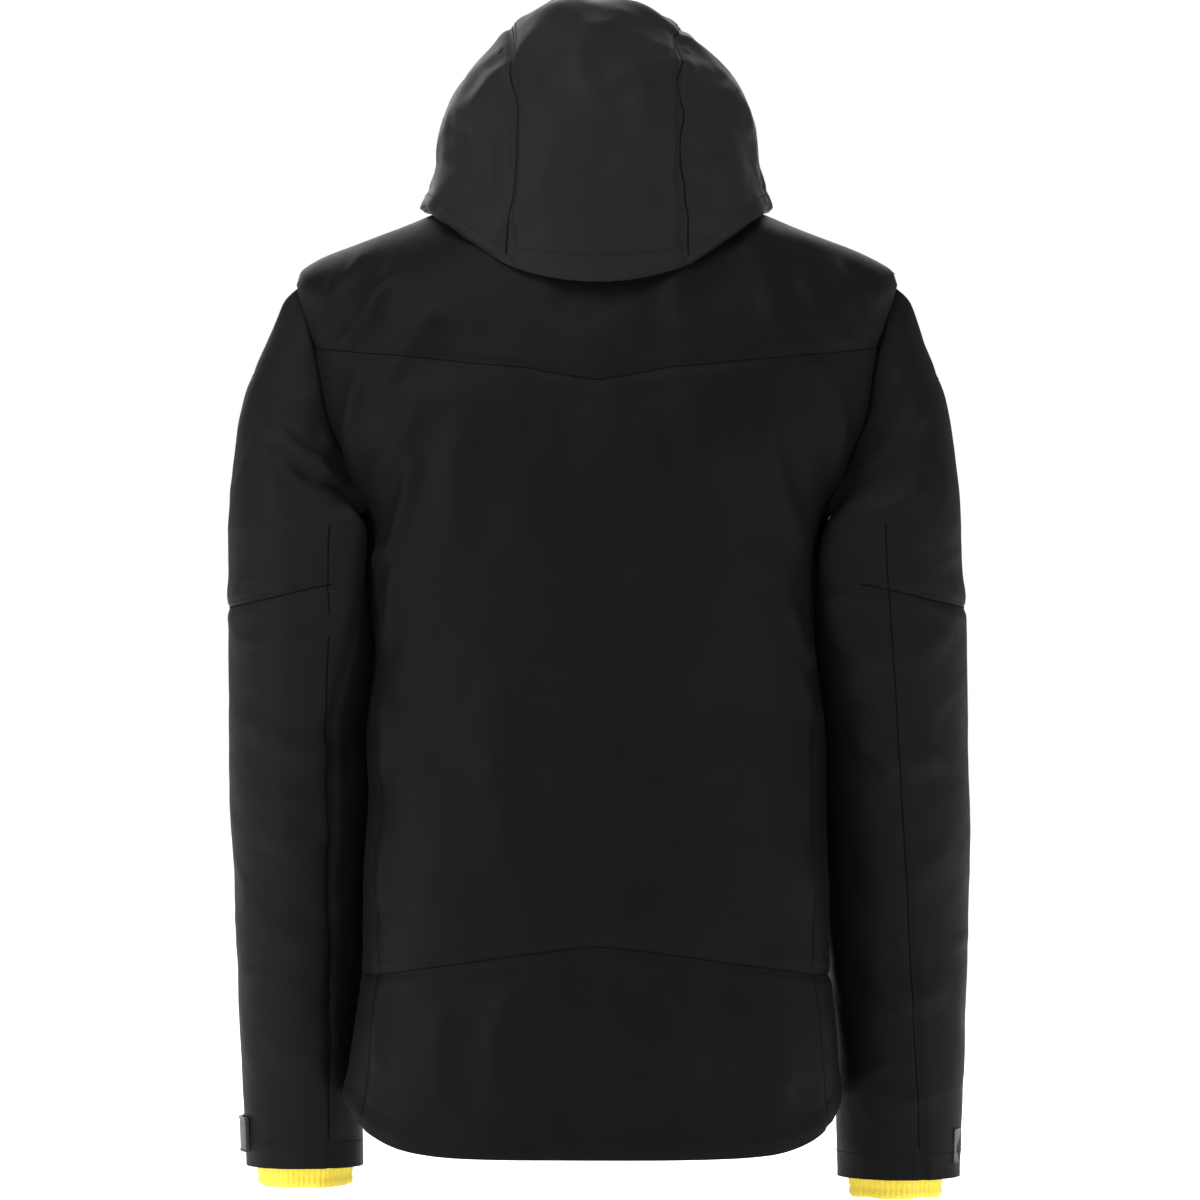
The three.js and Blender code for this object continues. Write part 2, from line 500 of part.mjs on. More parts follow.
// A bar of constant section: outline points [x, y] drawn anticlockwise, from z = low to z = high.
function bar(outline, low, high) {
  const shape = new THREE.Shape(outline.map(([x, y]) => new THREE.Vector2(x, y)));
  return new THREE.ExtrudeGeometry(shape, { depth: high - low, bevelEnabled: false }).translate(0, 0, low);
}
const plate = (x0, x1, y0, y1) => [[x0, y0], [x1, y0], [x1, y1], [x0, y1]];
const TAPE_FACE = CLOTH + 2 * TOUCH;
const TAPE_BACK = TAPE_FACE + ZIP.tapeThick;
const TEETH_FACE = TAPE_BACK - ZIP.teethThick;
// Front plate with two short lips that reach past the teeth on each side. It carries the pull clear of the cloth.
function sliderOutline(plateFace) {
  const { half, lip } = SLIDER;
  const plateBack = TEETH_FACE - RUNNING_GAP;
  const lipBack = TAPE_FACE - RUNNING_GAP;
  return [
    [-half, plateFace], [half, plateFace], [half, lipBack], [half - lip, lipBack],
    [half - lip, plateBack], [lip - half, plateBack], [lip - half, lipBack], [-half, lipBack],
  ];
}
function addSlider(name, zip, top, plateThick) {
  const plateFace = TEETH_FACE - RUNNING_GAP - plateThick;
  add(`${name}_slider`, bar(sliderOutline(plateFace), top - SLIDER.length, top), METAL, zip);
  const face = plateFace - RUNNING_GAP - PULL.thick;
  const half = PULL.width / 2;
  const pullTop = top - 2;
  const outline = plate(-half, half, face, face + PULL.thick);
  add(`${name}_pull`, bar(outline, pullTop - PULL.length, pullTop), RUBBER, zip);
}

// Main zip: from the front hem to the top of the collar, on one straight line.
const ZIP_LOW = HEM_LEVEL + 16;
const ZIP_HIGH = -FRONT_NECK_DROP + COLLAR_HEIGHT - 2;
const mainZip = new THREE.Group();
mainZip.position.set(0, -frontDepth(ZIP_LOW), ZIP_LOW);
mainZip.rotation.x = -Math.atan(ZIP_SLOPE);
jacket.add(mainZip);
const MAIN_LENGTH = (ZIP_HIGH - ZIP_LOW) * Math.hypot(1, ZIP_SLOPE);
const TAPE_START = ZIP.teeth + TOUCH;
add('zip_tape_left', bar(plate(TAPE_START, ZIP.tape, TAPE_FACE, TAPE_BACK), 0, MAIN_LENGTH), TAPE, mainZip);
add('zip_tape_right', bar(plate(-ZIP.tape, -TAPE_START, TAPE_FACE, TAPE_BACK), 0, MAIN_LENGTH), TAPE, mainZip);
add('zip_teeth', bar(plate(-ZIP.teeth, ZIP.teeth, TEETH_FACE, TAPE_BACK), 0, MAIN_LENGTH), TAPE, mainZip);
const flapFace = TAPE_BACK + TOUCH;
const flapOutline = plate(-STORM_FLAP.half, STORM_FLAP.half, flapFace, flapFace + STORM_FLAP.thick);
add('storm_flap', bar(flapOutline, 0, MAIN_LENGTH), LINING_CLOTH, mainZip);
addSlider('main', mainZip, MAIN_LENGTH - 2, SLIDER.plate);

// Hand pockets: a slit in each front panel, closed by a zip sewn behind it, with a flat bag inside.
const pocketLow = body(POCKET.top - POCKET.length, POCKET.angle);
const pocketHigh = body(POCKET.top, POCKET.angle);
const pocketAcross = body(POCKET.top - POCKET.length / 2, POCKET.angle + 1)
  .sub(body(POCKET.top - POCKET.length / 2, POCKET.angle - 1));
const POCKET_SINK = 1.2; // the straight zip lies this much deeper than the curved cloth asks
for (const [side, flip] of [['left', 1], ['right', -1]]) {
  const turned = V(flip, 1, 1);
  const low = pocketLow.clone().multiply(turned);
  const upward = pocketHigh.clone().multiply(turned).sub(low).normalize();
  const inward = upward.clone().cross(pocketAcross.clone().multiply(turned)).normalize().multiplyScalar(flip);
  const zip = new THREE.Group();
  zip.position.copy(low).addScaledVector(inward, POCKET_SINK);
  zip.quaternion.setFromRotationMatrix(new THREE.Matrix4().makeBasis(inward.clone().cross(upward), inward, upward));
  jacket.add(zip);
  zip.updateMatrix();
  const panel = jacket.getObjectByName(`front_panel_${side}`);
  const slit = bar(plate(-POCKET.opening, POCKET.opening, -8, 8), 0, POCKET.length).applyMatrix4(zip.matrix);
  panel.geometry = geometryOf(solid(panel.geometry).subtract(solid(slit)));
  const half = POCKET.opening + 5;
  const tapeOutline = [
    [-half, TAPE_FACE], [-ZIP.teeth, TAPE_FACE], [-ZIP.teeth, TEETH_FACE], [ZIP.teeth, TEETH_FACE],
    [ZIP.teeth, TAPE_FACE], [half, TAPE_FACE], [half, TAPE_BACK], [-half, TAPE_BACK],
  ];
  add(`pocket_zip_${side}`, bar(tapeOutline, -6, POCKET.length + 6), TAPE, zip);
  addSlider(`pocket_${side}`, zip, POCKET.length - 2, SLIDER.plate + 2 * POCKET_SINK);
  const bagEdges = [flat(POCKET.angle - POCKET.bagForward), flat(POCKET.angle + 8)];
  const bagEnds = [flat(POCKET.top - POCKET.length - 12), flat(POCKET.top + 12)];
  const bagLies = { inset: () => TAPE_BACK + POCKET_SINK + TOUCH, thickness: POCKET.bagThick, mirror: flip < 0 };
  add(`pocket_bag_${side}`, bodyPanel(bagEdges, bagEnds, 6, 3, bagLies), LINING_CLOTH);
}

export default jacket;
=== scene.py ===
"""Insulated ski jacket with its hood up, zipped shut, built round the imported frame. Metres, +Z up, the
front faces -Y, the wearer's left is +X, and the origin is the top of the hanger loop in the collar."""

import math

import bmesh
import bpy
import numpy as np
from mathutils import Matrix, Vector, noise
from mathutils.bvhtree import BVHTree


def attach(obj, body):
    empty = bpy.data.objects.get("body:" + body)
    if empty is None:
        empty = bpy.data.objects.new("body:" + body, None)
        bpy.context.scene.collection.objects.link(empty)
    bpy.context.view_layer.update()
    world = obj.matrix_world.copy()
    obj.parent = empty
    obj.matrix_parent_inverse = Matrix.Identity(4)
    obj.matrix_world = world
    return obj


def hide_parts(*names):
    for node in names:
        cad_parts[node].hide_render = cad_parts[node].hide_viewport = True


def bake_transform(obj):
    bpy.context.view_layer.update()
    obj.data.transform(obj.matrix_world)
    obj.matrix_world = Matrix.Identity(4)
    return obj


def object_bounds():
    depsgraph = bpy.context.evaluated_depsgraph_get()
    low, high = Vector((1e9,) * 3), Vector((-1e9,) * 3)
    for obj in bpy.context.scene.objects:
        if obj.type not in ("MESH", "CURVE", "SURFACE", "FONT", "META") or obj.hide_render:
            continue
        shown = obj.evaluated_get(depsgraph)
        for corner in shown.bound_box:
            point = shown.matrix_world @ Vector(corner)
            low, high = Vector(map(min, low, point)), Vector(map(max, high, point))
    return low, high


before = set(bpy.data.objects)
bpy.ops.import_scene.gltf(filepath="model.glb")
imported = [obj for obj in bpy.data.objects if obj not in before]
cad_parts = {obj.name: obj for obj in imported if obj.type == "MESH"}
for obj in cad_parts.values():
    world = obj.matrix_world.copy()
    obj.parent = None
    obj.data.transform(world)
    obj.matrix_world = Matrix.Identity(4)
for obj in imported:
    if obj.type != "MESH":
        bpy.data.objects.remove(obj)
cad_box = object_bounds()

# ---- Studio ------------------------------------------------------------------------------------
# A wide pale floor under an even white sky, a big soft light above the hood, one on each side and one in
# front, and a long lens level with the waist, straight behind the back.
MIDDLE = (-0.0024, 0.0, -0.330)
CAMERA_DISTANCE = 5.0
FIELD_WIDTH = 0.96
FLOOR_DROP = 0.05  # below the gaiters


def new_object(name, mesh):
    made = bpy.data.objects.new(name, mesh)
    bpy.context.collection.objects.link(made)
    return made


def principled(material):
    material.use_nodes = True
    return material.node_tree.nodes["Principled BSDF"]


def pale_floor():
    low = cad_box[0][2] - FLOOR_DROP
    turn = np.linspace(0, 2 * math.pi, 97)[:-1]
    mesh = bpy.data.meshes.new("pale_floor")
    mesh.from_pydata([(9 * math.cos(a), 9 * math.sin(a), low) for a in turn], [], [list(range(96))])
    made = new_object("pale_floor", mesh)
    paper = bpy.data.materials.new("floor_paper")
    shader = principled(paper)
    shader.inputs["Base Color"].default_value = (0.93, 0.93, 0.93, 1)
    shader.inputs["Roughness"].default_value = 0.9
    shader.inputs["Emission Color"].default_value = (1, 1, 1, 1)
    shader.inputs["Emission Strength"].default_value = 0.9
    mesh.materials.append(paper)


def soft_light(name, place, target, size, power):
    data = bpy.data.lights.new(name, "AREA")
    data.shape = "RECTANGLE"
    data.size, data.size_y = size
    data.energy = power
    lamp = new_object(name, data)
    lamp.location = place
    lamp.visible_camera = False
    lamp.rotation_euler = (Vector(target) - Vector(place)).to_track_quat("-Z", "Y").to_euler()


pale_floor()
camera_data = bpy.data.cameras.new("camera")
camera_data.sensor_width = 36
camera_data.lens = 36 * CAMERA_DISTANCE / FIELD_WIDTH
camera_data.clip_end = 50
camera = new_object("camera", camera_data)
camera.location = (MIDDLE[0], MIDDLE[1] + CAMERA_DISTANCE, MIDDLE[2])
camera.rotation_euler = (math.radians(90), 0, math.radians(180))
bpy.context.scene.camera = camera
soft_light("top_light", (0.3, 1.1, 2.0), (0, 0, -0.1), (1.2, 1.2), 52)
soft_light("left_light", (2.3, 1.3, 0.4), (0, 0, -0.4), (0.9, 1.8), 44)
soft_light("right_light", (-2.4, 1.2, 0.2), (0, 0, -0.4), (0.9, 1.8), 22)
soft_light("front_light", (0.3, -2.6, 0.9), (0, 0, -0.3), (2.4, 1.6), 46)
world = bpy.data.worlds.new("studio")
world.use_nodes = True
sky = world.node_tree
seen = sky.nodes.new("ShaderNodeLightPath")
level = sky.nodes.new("ShaderNodeMix")
level.inputs["A"].default_value = 0.34
level.inputs["B"].default_value = 1.0
sky.links.new(seen.outputs["Is Camera Ray"], level.inputs["Factor"])
sky.nodes["Background"].inputs["Color"].default_value = (1, 1, 1, 1)
sky.links.new(level.outputs["Result"], sky.nodes["Background"].inputs["Strength"])
bpy.context.scene.world = world
bpy.context.scene.view_settings.view_transform = "Standard"

# ---- Body: yoke, back, sides, fronts and hem ---------------------------------------------------
# Twill softshell panels with thin wadding behind, overlocked together and turned inside out, so each seam
# is a shallow groove with the cloth slightly drawn up beside it. The hem seam is stitched down twice.
CENTRE = np.array((0.0, -0.056, -0.022))  # the body's centre line at the back neck seam
HEM = -0.754
WAIST = -0.420
ARMPIT = -0.232
SHOULDER = -0.100
FRONT_NECK = -0.045
ARMHOLE = 17.0
CLOTH = 0.003
SEAM_DEPTH = 0.0013
SEAM_HALF = 0.0030
YOKE_SEAM = -0.134
HEM_SEAM = -0.582


def smooth(x):
    x = np.clip(x, 0, 1)
    return x * x * (3 - 2 * x)


def track(x, stations):
    """Smooth curve through [(place, value), ...], level outside them."""
    at = np.array([s[0] for s in stations], float)
    value = np.array([s[1] for s in stations], float)
    slope = np.diff(value) / np.diff(at)
    middle = np.where(slope[1:] * slope[:-1] > 0, (slope[1:] + slope[:-1]) / 2, 0)
    tangent = np.concatenate([slope[:1], middle, slope[-1:]])
    x = np.clip(x, at[0], at[-1])
    i = np.clip(np.searchsorted(at, x, side="right") - 1, 0, len(at) - 2)
    span = at[i + 1] - at[i]
    t = (x - at[i]) / span
    bend = t * (1 - t) * ((1 - t) * tangent[i] - t * tangent[i + 1])
    return value[i] + (value[i + 1] - value[i]) * t * t * (3 - 2 * t) + span * bend


def half_width(level):
    a, s = ARMPIT, SHOULDER
    return track(level, [(HEM, 0.205), (WAIST, 0.187), (a - 0.06, 0.187), (a, 0.190),
                         (a + 0.4 * (s - a), 0.222), (a + 0.75 * (s - a), 0.234), (s, 0.237), (0, 0.085)])


def back_depth(level):
    return track(level, [(HEM, 0.130), (WAIST, 0.118), (ARMPIT, 0.128), (YOKE_SEAM, 0.120),
                         (YOKE_SEAM / 2, 0.099), (0, 0.075)])


def front_depth(z):
    return 0.132 - 0.062 * (z - HEM)


def side_height(level):
    out = (half_width(level) - 0.085) / (0.237 - 0.085)
    low = ARMPIT + (level - ARMPIT) / (SHOULDER - ARMPIT) * (-0.050 - ARMPIT)
    return np.where(level > SHOULDER, 0.024 + (-0.050 - 0.024) * out, low)


def front_height(level):
    return ARMPIT + (FRONT_NECK - ARMPIT) * (1 - level / ARMPIT)


def body_point(level, angle):
    """The body's surface. level is the height at the centre back; angle is 0 at the zip, 90 at the left."""
    level, angle = np.broadcast_arrays(np.asarray(level, float), np.asarray(angle, float))
    power = 2 / track(level, [(ARMPIT, 2.4), (0, 2.05)])
    s, c = np.sin(np.radians(angle)), np.cos(np.radians(angle))
    upper = level > ARMPIT
    centre = np.where(upper & (c > 0), front_height(level), level)
    side = np.where(upper, side_height(level), level)
    z = side + (centre - side) * np.abs(c) ** 1.5
    depth = np.where(c > 0, front_depth(np.where(upper, front_height(level), level)), back_depth(level))
    x = np.sign(s) * np.abs(s) ** power * half_width(level)
    y = -np.sign(c) * np.abs(c) ** power * depth
    return np.stack([x, y, z], -1) + CENTRE


def armhole(level):
    a, s = ARMPIT, SHOULDER
    return track(level, [(a, ARMHOLE), ((a + s) / 2, ARMHOLE), (a + 0.8 * (s - a), ARMHOLE * 0.65), (s, 0)])


def side_seam(level):
    """Half the side panel's width, in degrees."""
    return track(level, [(HEM, 26), (-0.45, 24), (ARMPIT, ARMHOLE)])


def zip_angle(level, x):
    return np.degrees(np.arcsin((x / half_width(level)) ** 1.2))


def yoke_seam(angle):
    s = np.abs(np.sin(np.radians(angle)))
    rise = track(s, [(0, 0), (0.12, 0.0056), (0.23, 0.0094), (0.5, 0.0092), (0.8, 0.003), (0.95, -0.002)])
    return YOKE_SEAM + np.where(np.cos(np.radians(angle)) < 0, rise, 0.014 * s * s)


def hem_seam(angle):
    return HEM_SEAM - 0.028 * np.abs(np.sin(np.radians(angle)))


def hem_edge(angle):
    s, c = np.sin(np.radians(angle)), np.cos(np.radians(angle))
    return HEM + 0.004 + 0.010 * smooth(c * 2) + 0.040 * np.abs(s) ** 6


def grid_normals(P, closed=False):
    du = (np.roll(P, -1, 1) - np.roll(P, 1, 1)) if closed else np.gradient(P, axis=1)
    dv = np.gradient(P, axis=0)
    n = np.cross(du, dv)
    return n / np.maximum(np.linalg.norm(n, axis=-1, keepdims=True), 1e-12)


def crease(distance, depth=SEAM_DEPTH, half=SEAM_HALF):
    """The groove at a seam, with the low puff of drawn-up cloth on both its sides."""
    d = np.abs(distance) / half
    return -depth * np.exp(-d * d) + 0.35 * depth * np.exp(-(((d - 2.7) / 1.6) ** 2))


def near_line(points, line):
    """Distance of flat points to a polyline, and how far along it, from 0 to 1, the nearest place lies."""
    line = np.asarray(line, float)
    best = np.full(points.shape[:-1], 1e9)
    along = np.zeros(points.shape[:-1])
    lengths = np.linalg.norm(np.diff(line, axis=0), axis=1)
    total, done = lengths.sum(), 0.0
    for a, b, length in zip(line[:-1], line[1:], lengths):
        t = np.clip(((points - a) @ (b - a)) / length**2, 0, 1)
        d = np.linalg.norm(points - (a + t[..., None] * (b - a)), axis=-1)
        closer = d < best
        best = np.where(closer, d, best)
        along = np.where(closer, (done + t * length) / total, along)
        done += length
    return best, along


def folds(points, rows):
    """Height of a set of soft folds. Each row is a line, its height and its half width; ends fade out."""
    total = np.zeros(points.shape[:-1])
    for line, height, half in rows:
        d, along = near_line(points, line)
        total += height * np.exp(-((d / half) ** 2)) * smooth(along * 4) * smooth((1 - along) * 4)
    return total


def rumple(P, scale, height, stretch=(1, 1, 1), seed=0.0):
    """Fine even unevenness of filled cloth."""
    flat = P.reshape(-1, 3) * (np.array(stretch) / scale) + seed
    values = [noise.fractal(Vector(p), 0.9, 2.1, 3) for p in flat]
    return height * np.array(values).reshape(P.shape[:-1])


def creased(P, scale, height, stretch=(1, 1, 1), seed=0.0):
    """Unevenness with narrow soft ridges, as in cloth that has been folded and shaken out."""
    flat = P.reshape(-1, 3) * (np.array(stretch) / scale) + seed
    values = np.array([abs(noise.noise(Vector(p))) for p in flat])
    return height * (np.exp(-((values / 0.16) ** 2)) - 0.35).reshape(P.shape[:-1])


def outward(mesh, centre):
    total = sum(f.normal.dot(f.center - Vector(centre)) * f.area for f in mesh.polygons)
    if total < 0:
        mesh.flip_normals()


def cloth_piece(name, P, thickness=CLOTH, closed=False, keep=None, centre=None):
    """A piece of cloth from a grid of places on its outer face, given its thickness on the inner side."""
    rows, columns = P.shape[:2]
    around = columns if closed else columns - 1
    i, j = np.meshgrid(np.arange(around), np.arange(rows - 1))
    nxt = (i + 1) % columns
    quads = np.stack([j * columns + i, j * columns + nxt, (j + 1) * columns + nxt, (j + 1) * columns + i], -1)
    if keep is not None:
        quads = quads[keep]
    mesh = bpy.data.meshes.new(name)
    mesh.from_pydata(P.reshape(-1, 3).tolist(), [], quads.reshape(-1, 4).tolist())
    step_v = np.linalg.norm(np.diff(P, axis=0), axis=-1).mean(1)
    step_u = np.linalg.norm(np.diff(P, axis=1), axis=-1).mean()
    height = np.concatenate([[0], np.cumsum(step_v)])
    uv = mesh.uv_layers.new(name="cloth")
    corner = np.zeros(len(mesh.loops), dtype=int)
    mesh.loops.foreach_get("vertex_index", corner)
    first = np.repeat(quads.reshape(-1, 4)[:, 0] % columns, 4)
    column = corner % columns
    column = np.where((column == 0) & (first == columns - 1), columns, column)
    uv.data.foreach_set("uv", np.stack([column * step_u, height[corner // columns]], -1).ravel())
    work = bmesh.new()
    work.from_mesh(mesh)
    bmesh.ops.remove_doubles(work, verts=work.verts, dist=1e-5)
    bmesh.ops.delete(work, geom=[v for v in work.verts if not v.link_faces], context="VERTS")
    work.to_mesh(mesh)
    work.free()
    outward(mesh, centre if centre is not None else P.reshape(-1, 3).mean(0))
    made = new_object(name, mesh)
    if thickness:
        solid = made.modifiers.new("thickness", "SOLIDIFY")
        solid.thickness = thickness
        solid.offset = -1
        made = bake(made)
    for face in made.data.polygons:
        face.use_smooth = True
    made.data.set_sharp_from_angle(angle=math.radians(50))
    return made


def bake(made):
    """Replaces an object's mesh with the result of its modifiers."""
    graph = bpy.context.evaluated_depsgraph_get()
    finished = bpy.data.meshes.new_from_object(made.evaluated_get(graph))
    made.modifiers.clear()
    old = made.data
    made.data = finished
    bpy.data.meshes.remove(old)
    finished.name = made.name
    return made


# The cloth's finish: a fine diagonal weave, slow cloudiness in colour and gloss, and a faint light nap.
def add_node(tree, kind, **values):
    node = tree.nodes.new(kind)
    for key, value in values.items():
        setattr(node, key, value)
    return node


def maths(tree, operation, a, b=None):
    node = add_node(tree, "ShaderNodeMath", operation=operation)
    for slot, value in zip(node.inputs, (a, b)):
        if isinstance(value, (int, float)):
            slot.default_value = value
        elif value is not None:
            tree.links.new(value, slot)
    return node.outputs[0]


def group_with(name, inputs, outputs):
    tree = bpy.data.node_groups.new(name, "ShaderNodeTree")
    for label, value in inputs:
        socket = tree.interface.new_socket(label, in_out="INPUT", socket_type="NodeSocketFloat")
        socket.default_value = value
    for label in outputs:
        tree.interface.new_socket(label, in_out="OUTPUT", socket_type="NodeSocketFloat")
    return tree, tree.nodes.new("NodeGroupInput"), tree.nodes.new("NodeGroupOutput")


def make_weave():
    tree, given, result = group_with("woven_threads", [("Pitch", 0.0008), ("Lean", 1.0)], ["Height", "Shade"])
    uv = add_node(tree, "ShaderNodeUVMap", uv_map="cloth")
    split = add_node(tree, "ShaderNodeSeparateXYZ")
    tree.links.new(uv.outputs["UV"], split.inputs[0])
    across = maths(tree, "DIVIDE", split.outputs["X"], given.outputs["Pitch"])
    along = maths(tree, "DIVIDE", split.outputs["Y"], given.outputs["Pitch"])
    leaning = maths(tree, "ADD", across, maths(tree, "MULTIPLY", along, given.outputs["Lean"]))
    rib = maths(tree, "SINE", maths(tree, "MULTIPLY", leaning, 2 * math.pi))
    pick = maths(tree, "SINE", maths(tree, "MULTIPLY", along, 4 * math.pi))
    height = maths(tree, "ADD", maths(tree, "MULTIPLY", rib, 0.36), maths(tree, "MULTIPLY", pick, 0.14))
    height = maths(tree, "ADD", height, 0.5)
    tree.links.new(height, result.inputs["Height"])
    tree.links.new(maths(tree, "ADD", maths(tree, "MULTIPLY", height, 0.3), 0.85), result.inputs["Shade"])
    return tree


def make_cloudiness():
    tree, given, result = group_with("cloudiness", [("Size", 0.08), ("Strength", 0.2)], ["Shade", "Height"])
    place = tree.nodes.new("ShaderNodeTexCoord")
    cloud = add_node(tree, "ShaderNodeTexNoise", noise_dimensions="3D")
    tree.links.new(place.outputs["Object"], cloud.inputs["Vector"])
    tree.links.new(maths(tree, "DIVIDE", 1.0, given.outputs["Size"]), cloud.inputs["Scale"])
    cloud.inputs["Detail"].default_value = 4
    centred = maths(tree, "SUBTRACT", cloud.outputs["Fac"], 0.5)
    shade = maths(tree, "ADD", maths(tree, "MULTIPLY", centred, given.outputs["Strength"]), 1.0)
    tree.links.new(shade, result.inputs["Shade"])
    tree.links.new(centred, result.inputs["Height"])
    return tree


weave_group = make_weave()
cloud_group = make_cloudiness()


def cloth_finish(
    name, colour, roughness, sheen=0.3, pitch=0.0008, lean=1.0, bump=0.00012, uneven=0.25, sheen_tint=0.6
):
    material = bpy.data.materials.new(name)
    shader = principled(material)
    tree = material.node_tree
    weave = add_node(tree, "ShaderNodeGroup", node_tree=weave_group)
    weave.inputs["Pitch"].default_value = pitch
    weave.inputs["Lean"].default_value = lean
    cloud = add_node(tree, "ShaderNodeGroup", node_tree=cloud_group)
    cloud.inputs["Size"].default_value = 0.07
    cloud.inputs["Strength"].default_value = uneven
    shade = maths(tree, "MULTIPLY", weave.outputs["Shade"], cloud.outputs["Shade"])
    tint = add_node(tree, "ShaderNodeVectorMath", operation="SCALE")
    tint.inputs[0].default_value = colour
    tree.links.new(shade, tint.inputs["Scale"])
    tree.links.new(tint.outputs[0], shader.inputs["Base Color"])
    gloss = maths(tree, "MULTIPLY", cloud.outputs["Shade"], roughness)
    tree.links.new(gloss, shader.inputs["Roughness"])
    crush = add_node(tree, "ShaderNodeGroup", node_tree=cloud_group)
    crush.inputs["Size"].default_value = 0.016
    relief = add_node(tree, "ShaderNodeBump")
    relief.inputs["Strength"].default_value = 0.6
    relief.inputs["Distance"].default_value = bump
    tree.links.new(weave.outputs["Height"], relief.inputs["Height"])
    soft = add_node(tree, "ShaderNodeBump")
    soft.inputs["Strength"].default_value = 0.5
    soft.inputs["Distance"].default_value = 0.0012
    tree.links.new(crush.outputs["Height"], soft.inputs["Height"])
    tree.links.new(soft.outputs["Normal"], relief.inputs["Normal"])
    tree.links.new(relief.outputs["Normal"], shader.inputs["Normal"])
    shader.inputs["Sheen Weight"].default_value = sheen
    shader.inputs["Sheen Roughness"].default_value = 0.45
    shader.inputs["Sheen Tint"].default_value = (sheen_tint, sheen_tint, sheen_tint, 1)
    shader.inputs["Specular IOR Level"].default_value = 0.055
    return material


face_cloth = cloth_finish("face_cloth", (0.0034, 0.0034, 0.0035), 0.5, sheen=0.008)
BODY_FRONT_COLUMNS = 34
BODY_SIDE_COLUMNS = 16
BODY_BACK_COLUMNS = 96
BODY_ROWS = (104, 58)  # below and above the armpit
ZIP_OPENING = 0.009
# Folds of the back and front: ((x, z) line seen from behind, height, half width), from the body's centre.
BACK_FOLDS = [
    ([(0.155, -0.040), (0.181, -0.085), (0.221, -0.124)], 0.0052, 0.0055),
    ([(0.176, -0.028), (0.204, -0.066), (0.221, -0.112)], 0.0036, 0.0050),
    ([(0.205, -0.044), (0.212, -0.074), (0.220, -0.112)], 0.0030, 0.0042),
    ([(0.120, -0.070), (0.146, -0.100), (0.176, -0.150)], 0.0032, 0.0080),
    ([(0.137, -0.125), (0.149, -0.168), (0.186, -0.235)], 0.0044, 0.0100),
    ([(0.186, -0.110), (0.196, -0.172), (0.189, -0.238), (0.184, -0.260)], 0.0050, 0.0060),
    ([(0.143, -0.186), (0.149, -0.226), (0.159, -0.262), (0.184, -0.290)], 0.0068, 0.0066),
    ([(0.162, -0.270), (0.161, -0.294), (0.167, -0.330), (0.178, -0.356)], 0.0050, 0.0056),
    ([(0.104, -0.150), (0.116, -0.240), (0.140, -0.330)], 0.0036, 0.0160),
    ([(0.178, -0.380), (0.168, -0.420), (0.176, -0.460)], 0.0036, 0.0060),
    ([(0.178, -0.495), (0.171, -0.520), (0.177, -0.560)], 0.0036, 0.0060),
    ([(0.000, -0.140), (0.006, -0.260), (0.020, -0.420)], 0.0026, 0.0200),
    ([(-0.030, -0.150), (-0.050, -0.270), (-0.096, -0.400)], 0.0040, 0.0200),
    ([(-0.075, -0.150), (-0.092, -0.250), (-0.130, -0.370)], 0.0042, 0.0170),
    ([(-0.120, -0.140), (-0.142, -0.215), (-0.172, -0.290)], 0.0050, 0.0095),
    ([(-0.150, -0.300), (-0.166, -0.345), (-0.182, -0.372)], 0.0048, 0.0060),
    ([(-0.158, -0.350), (-0.170, -0.392), (-0.186, -0.415)], 0.0036, 0.0056),
    ([(-0.112, -0.400), (-0.136, -0.490), (-0.170, -0.560)], 0.0040, 0.0150),
    ([(-0.172, -0.430), (-0.161, -0.500), (-0.174, -0.570)], 0.0038, 0.0080),
    ([(0.060, -0.330), (0.078, -0.430), (0.070, -0.540)], 0.0030, 0.0180),
    ([(-0.155, -0.040), (-0.178, -0.080), (-0.212, -0.116)], 0.0048, 0.0060),
    ([(-0.124, -0.052), (-0.152, -0.098), (-0.196, -0.150)], 0.0044, 0.0080),
    ([(-0.182, -0.036), (-0.204, -0.070), (-0.222, -0.104)], 0.0034, 0.0048),
    ([(-0.184, -0.120), (-0.194, -0.176), (-0.188, -0.240)], 0.0044, 0.0062),
    ([(-0.098, -0.612), (-0.131, -0.665), (-0.150, -0.710)], 0.0042, 0.0100),
    ([(-0.060, -0.600), (-0.076, -0.650), (-0.072, -0.700)], 0.0026, 0.0110),
    ([(0.060, -0.602), (0.080, -0.650), (0.084, -0.710)], 0.0032, 0.0120),
    ([(0.120, -0.620), (0.128, -0.670), (0.122, -0.715)], 0.0026, 0.0100),
    ([(0.179, -0.606), (0.176, -0.690)], 0.0034, 0.0056),
    ([(0.010, -0.574), (0.004, -0.560)], 0.0030, 0.0050),
]
FRONT_FOLDS = [
    ([(0.060, -0.170), (0.110, -0.230), (0.160, -0.270)], 0.0040, 0.014),
    ([(-0.058, -0.165), (-0.106, -0.232), (-0.158, -0.268)], 0.0042, 0.013),
    ([(0.040, -0.320), (0.090, -0.360), (0.150, -0.350)], 0.0034, 0.016),
    ([(-0.036, -0.340), (-0.084, -0.380), (-0.150, -0.372)], 0.0032, 0.015),
    ([(0.050, -0.640), (0.110, -0.670)], 0.0028, 0.013),
    ([(-0.054, -0.636), (-0.116, -0.672)], 0.0030, 0.013),
    ([(0.030, -0.100), (0.070, -0.190)], 0.0026, 0.014),
    ([(-0.030, -0.104), (-0.072, -0.186)], 0.0026, 0.014),
]


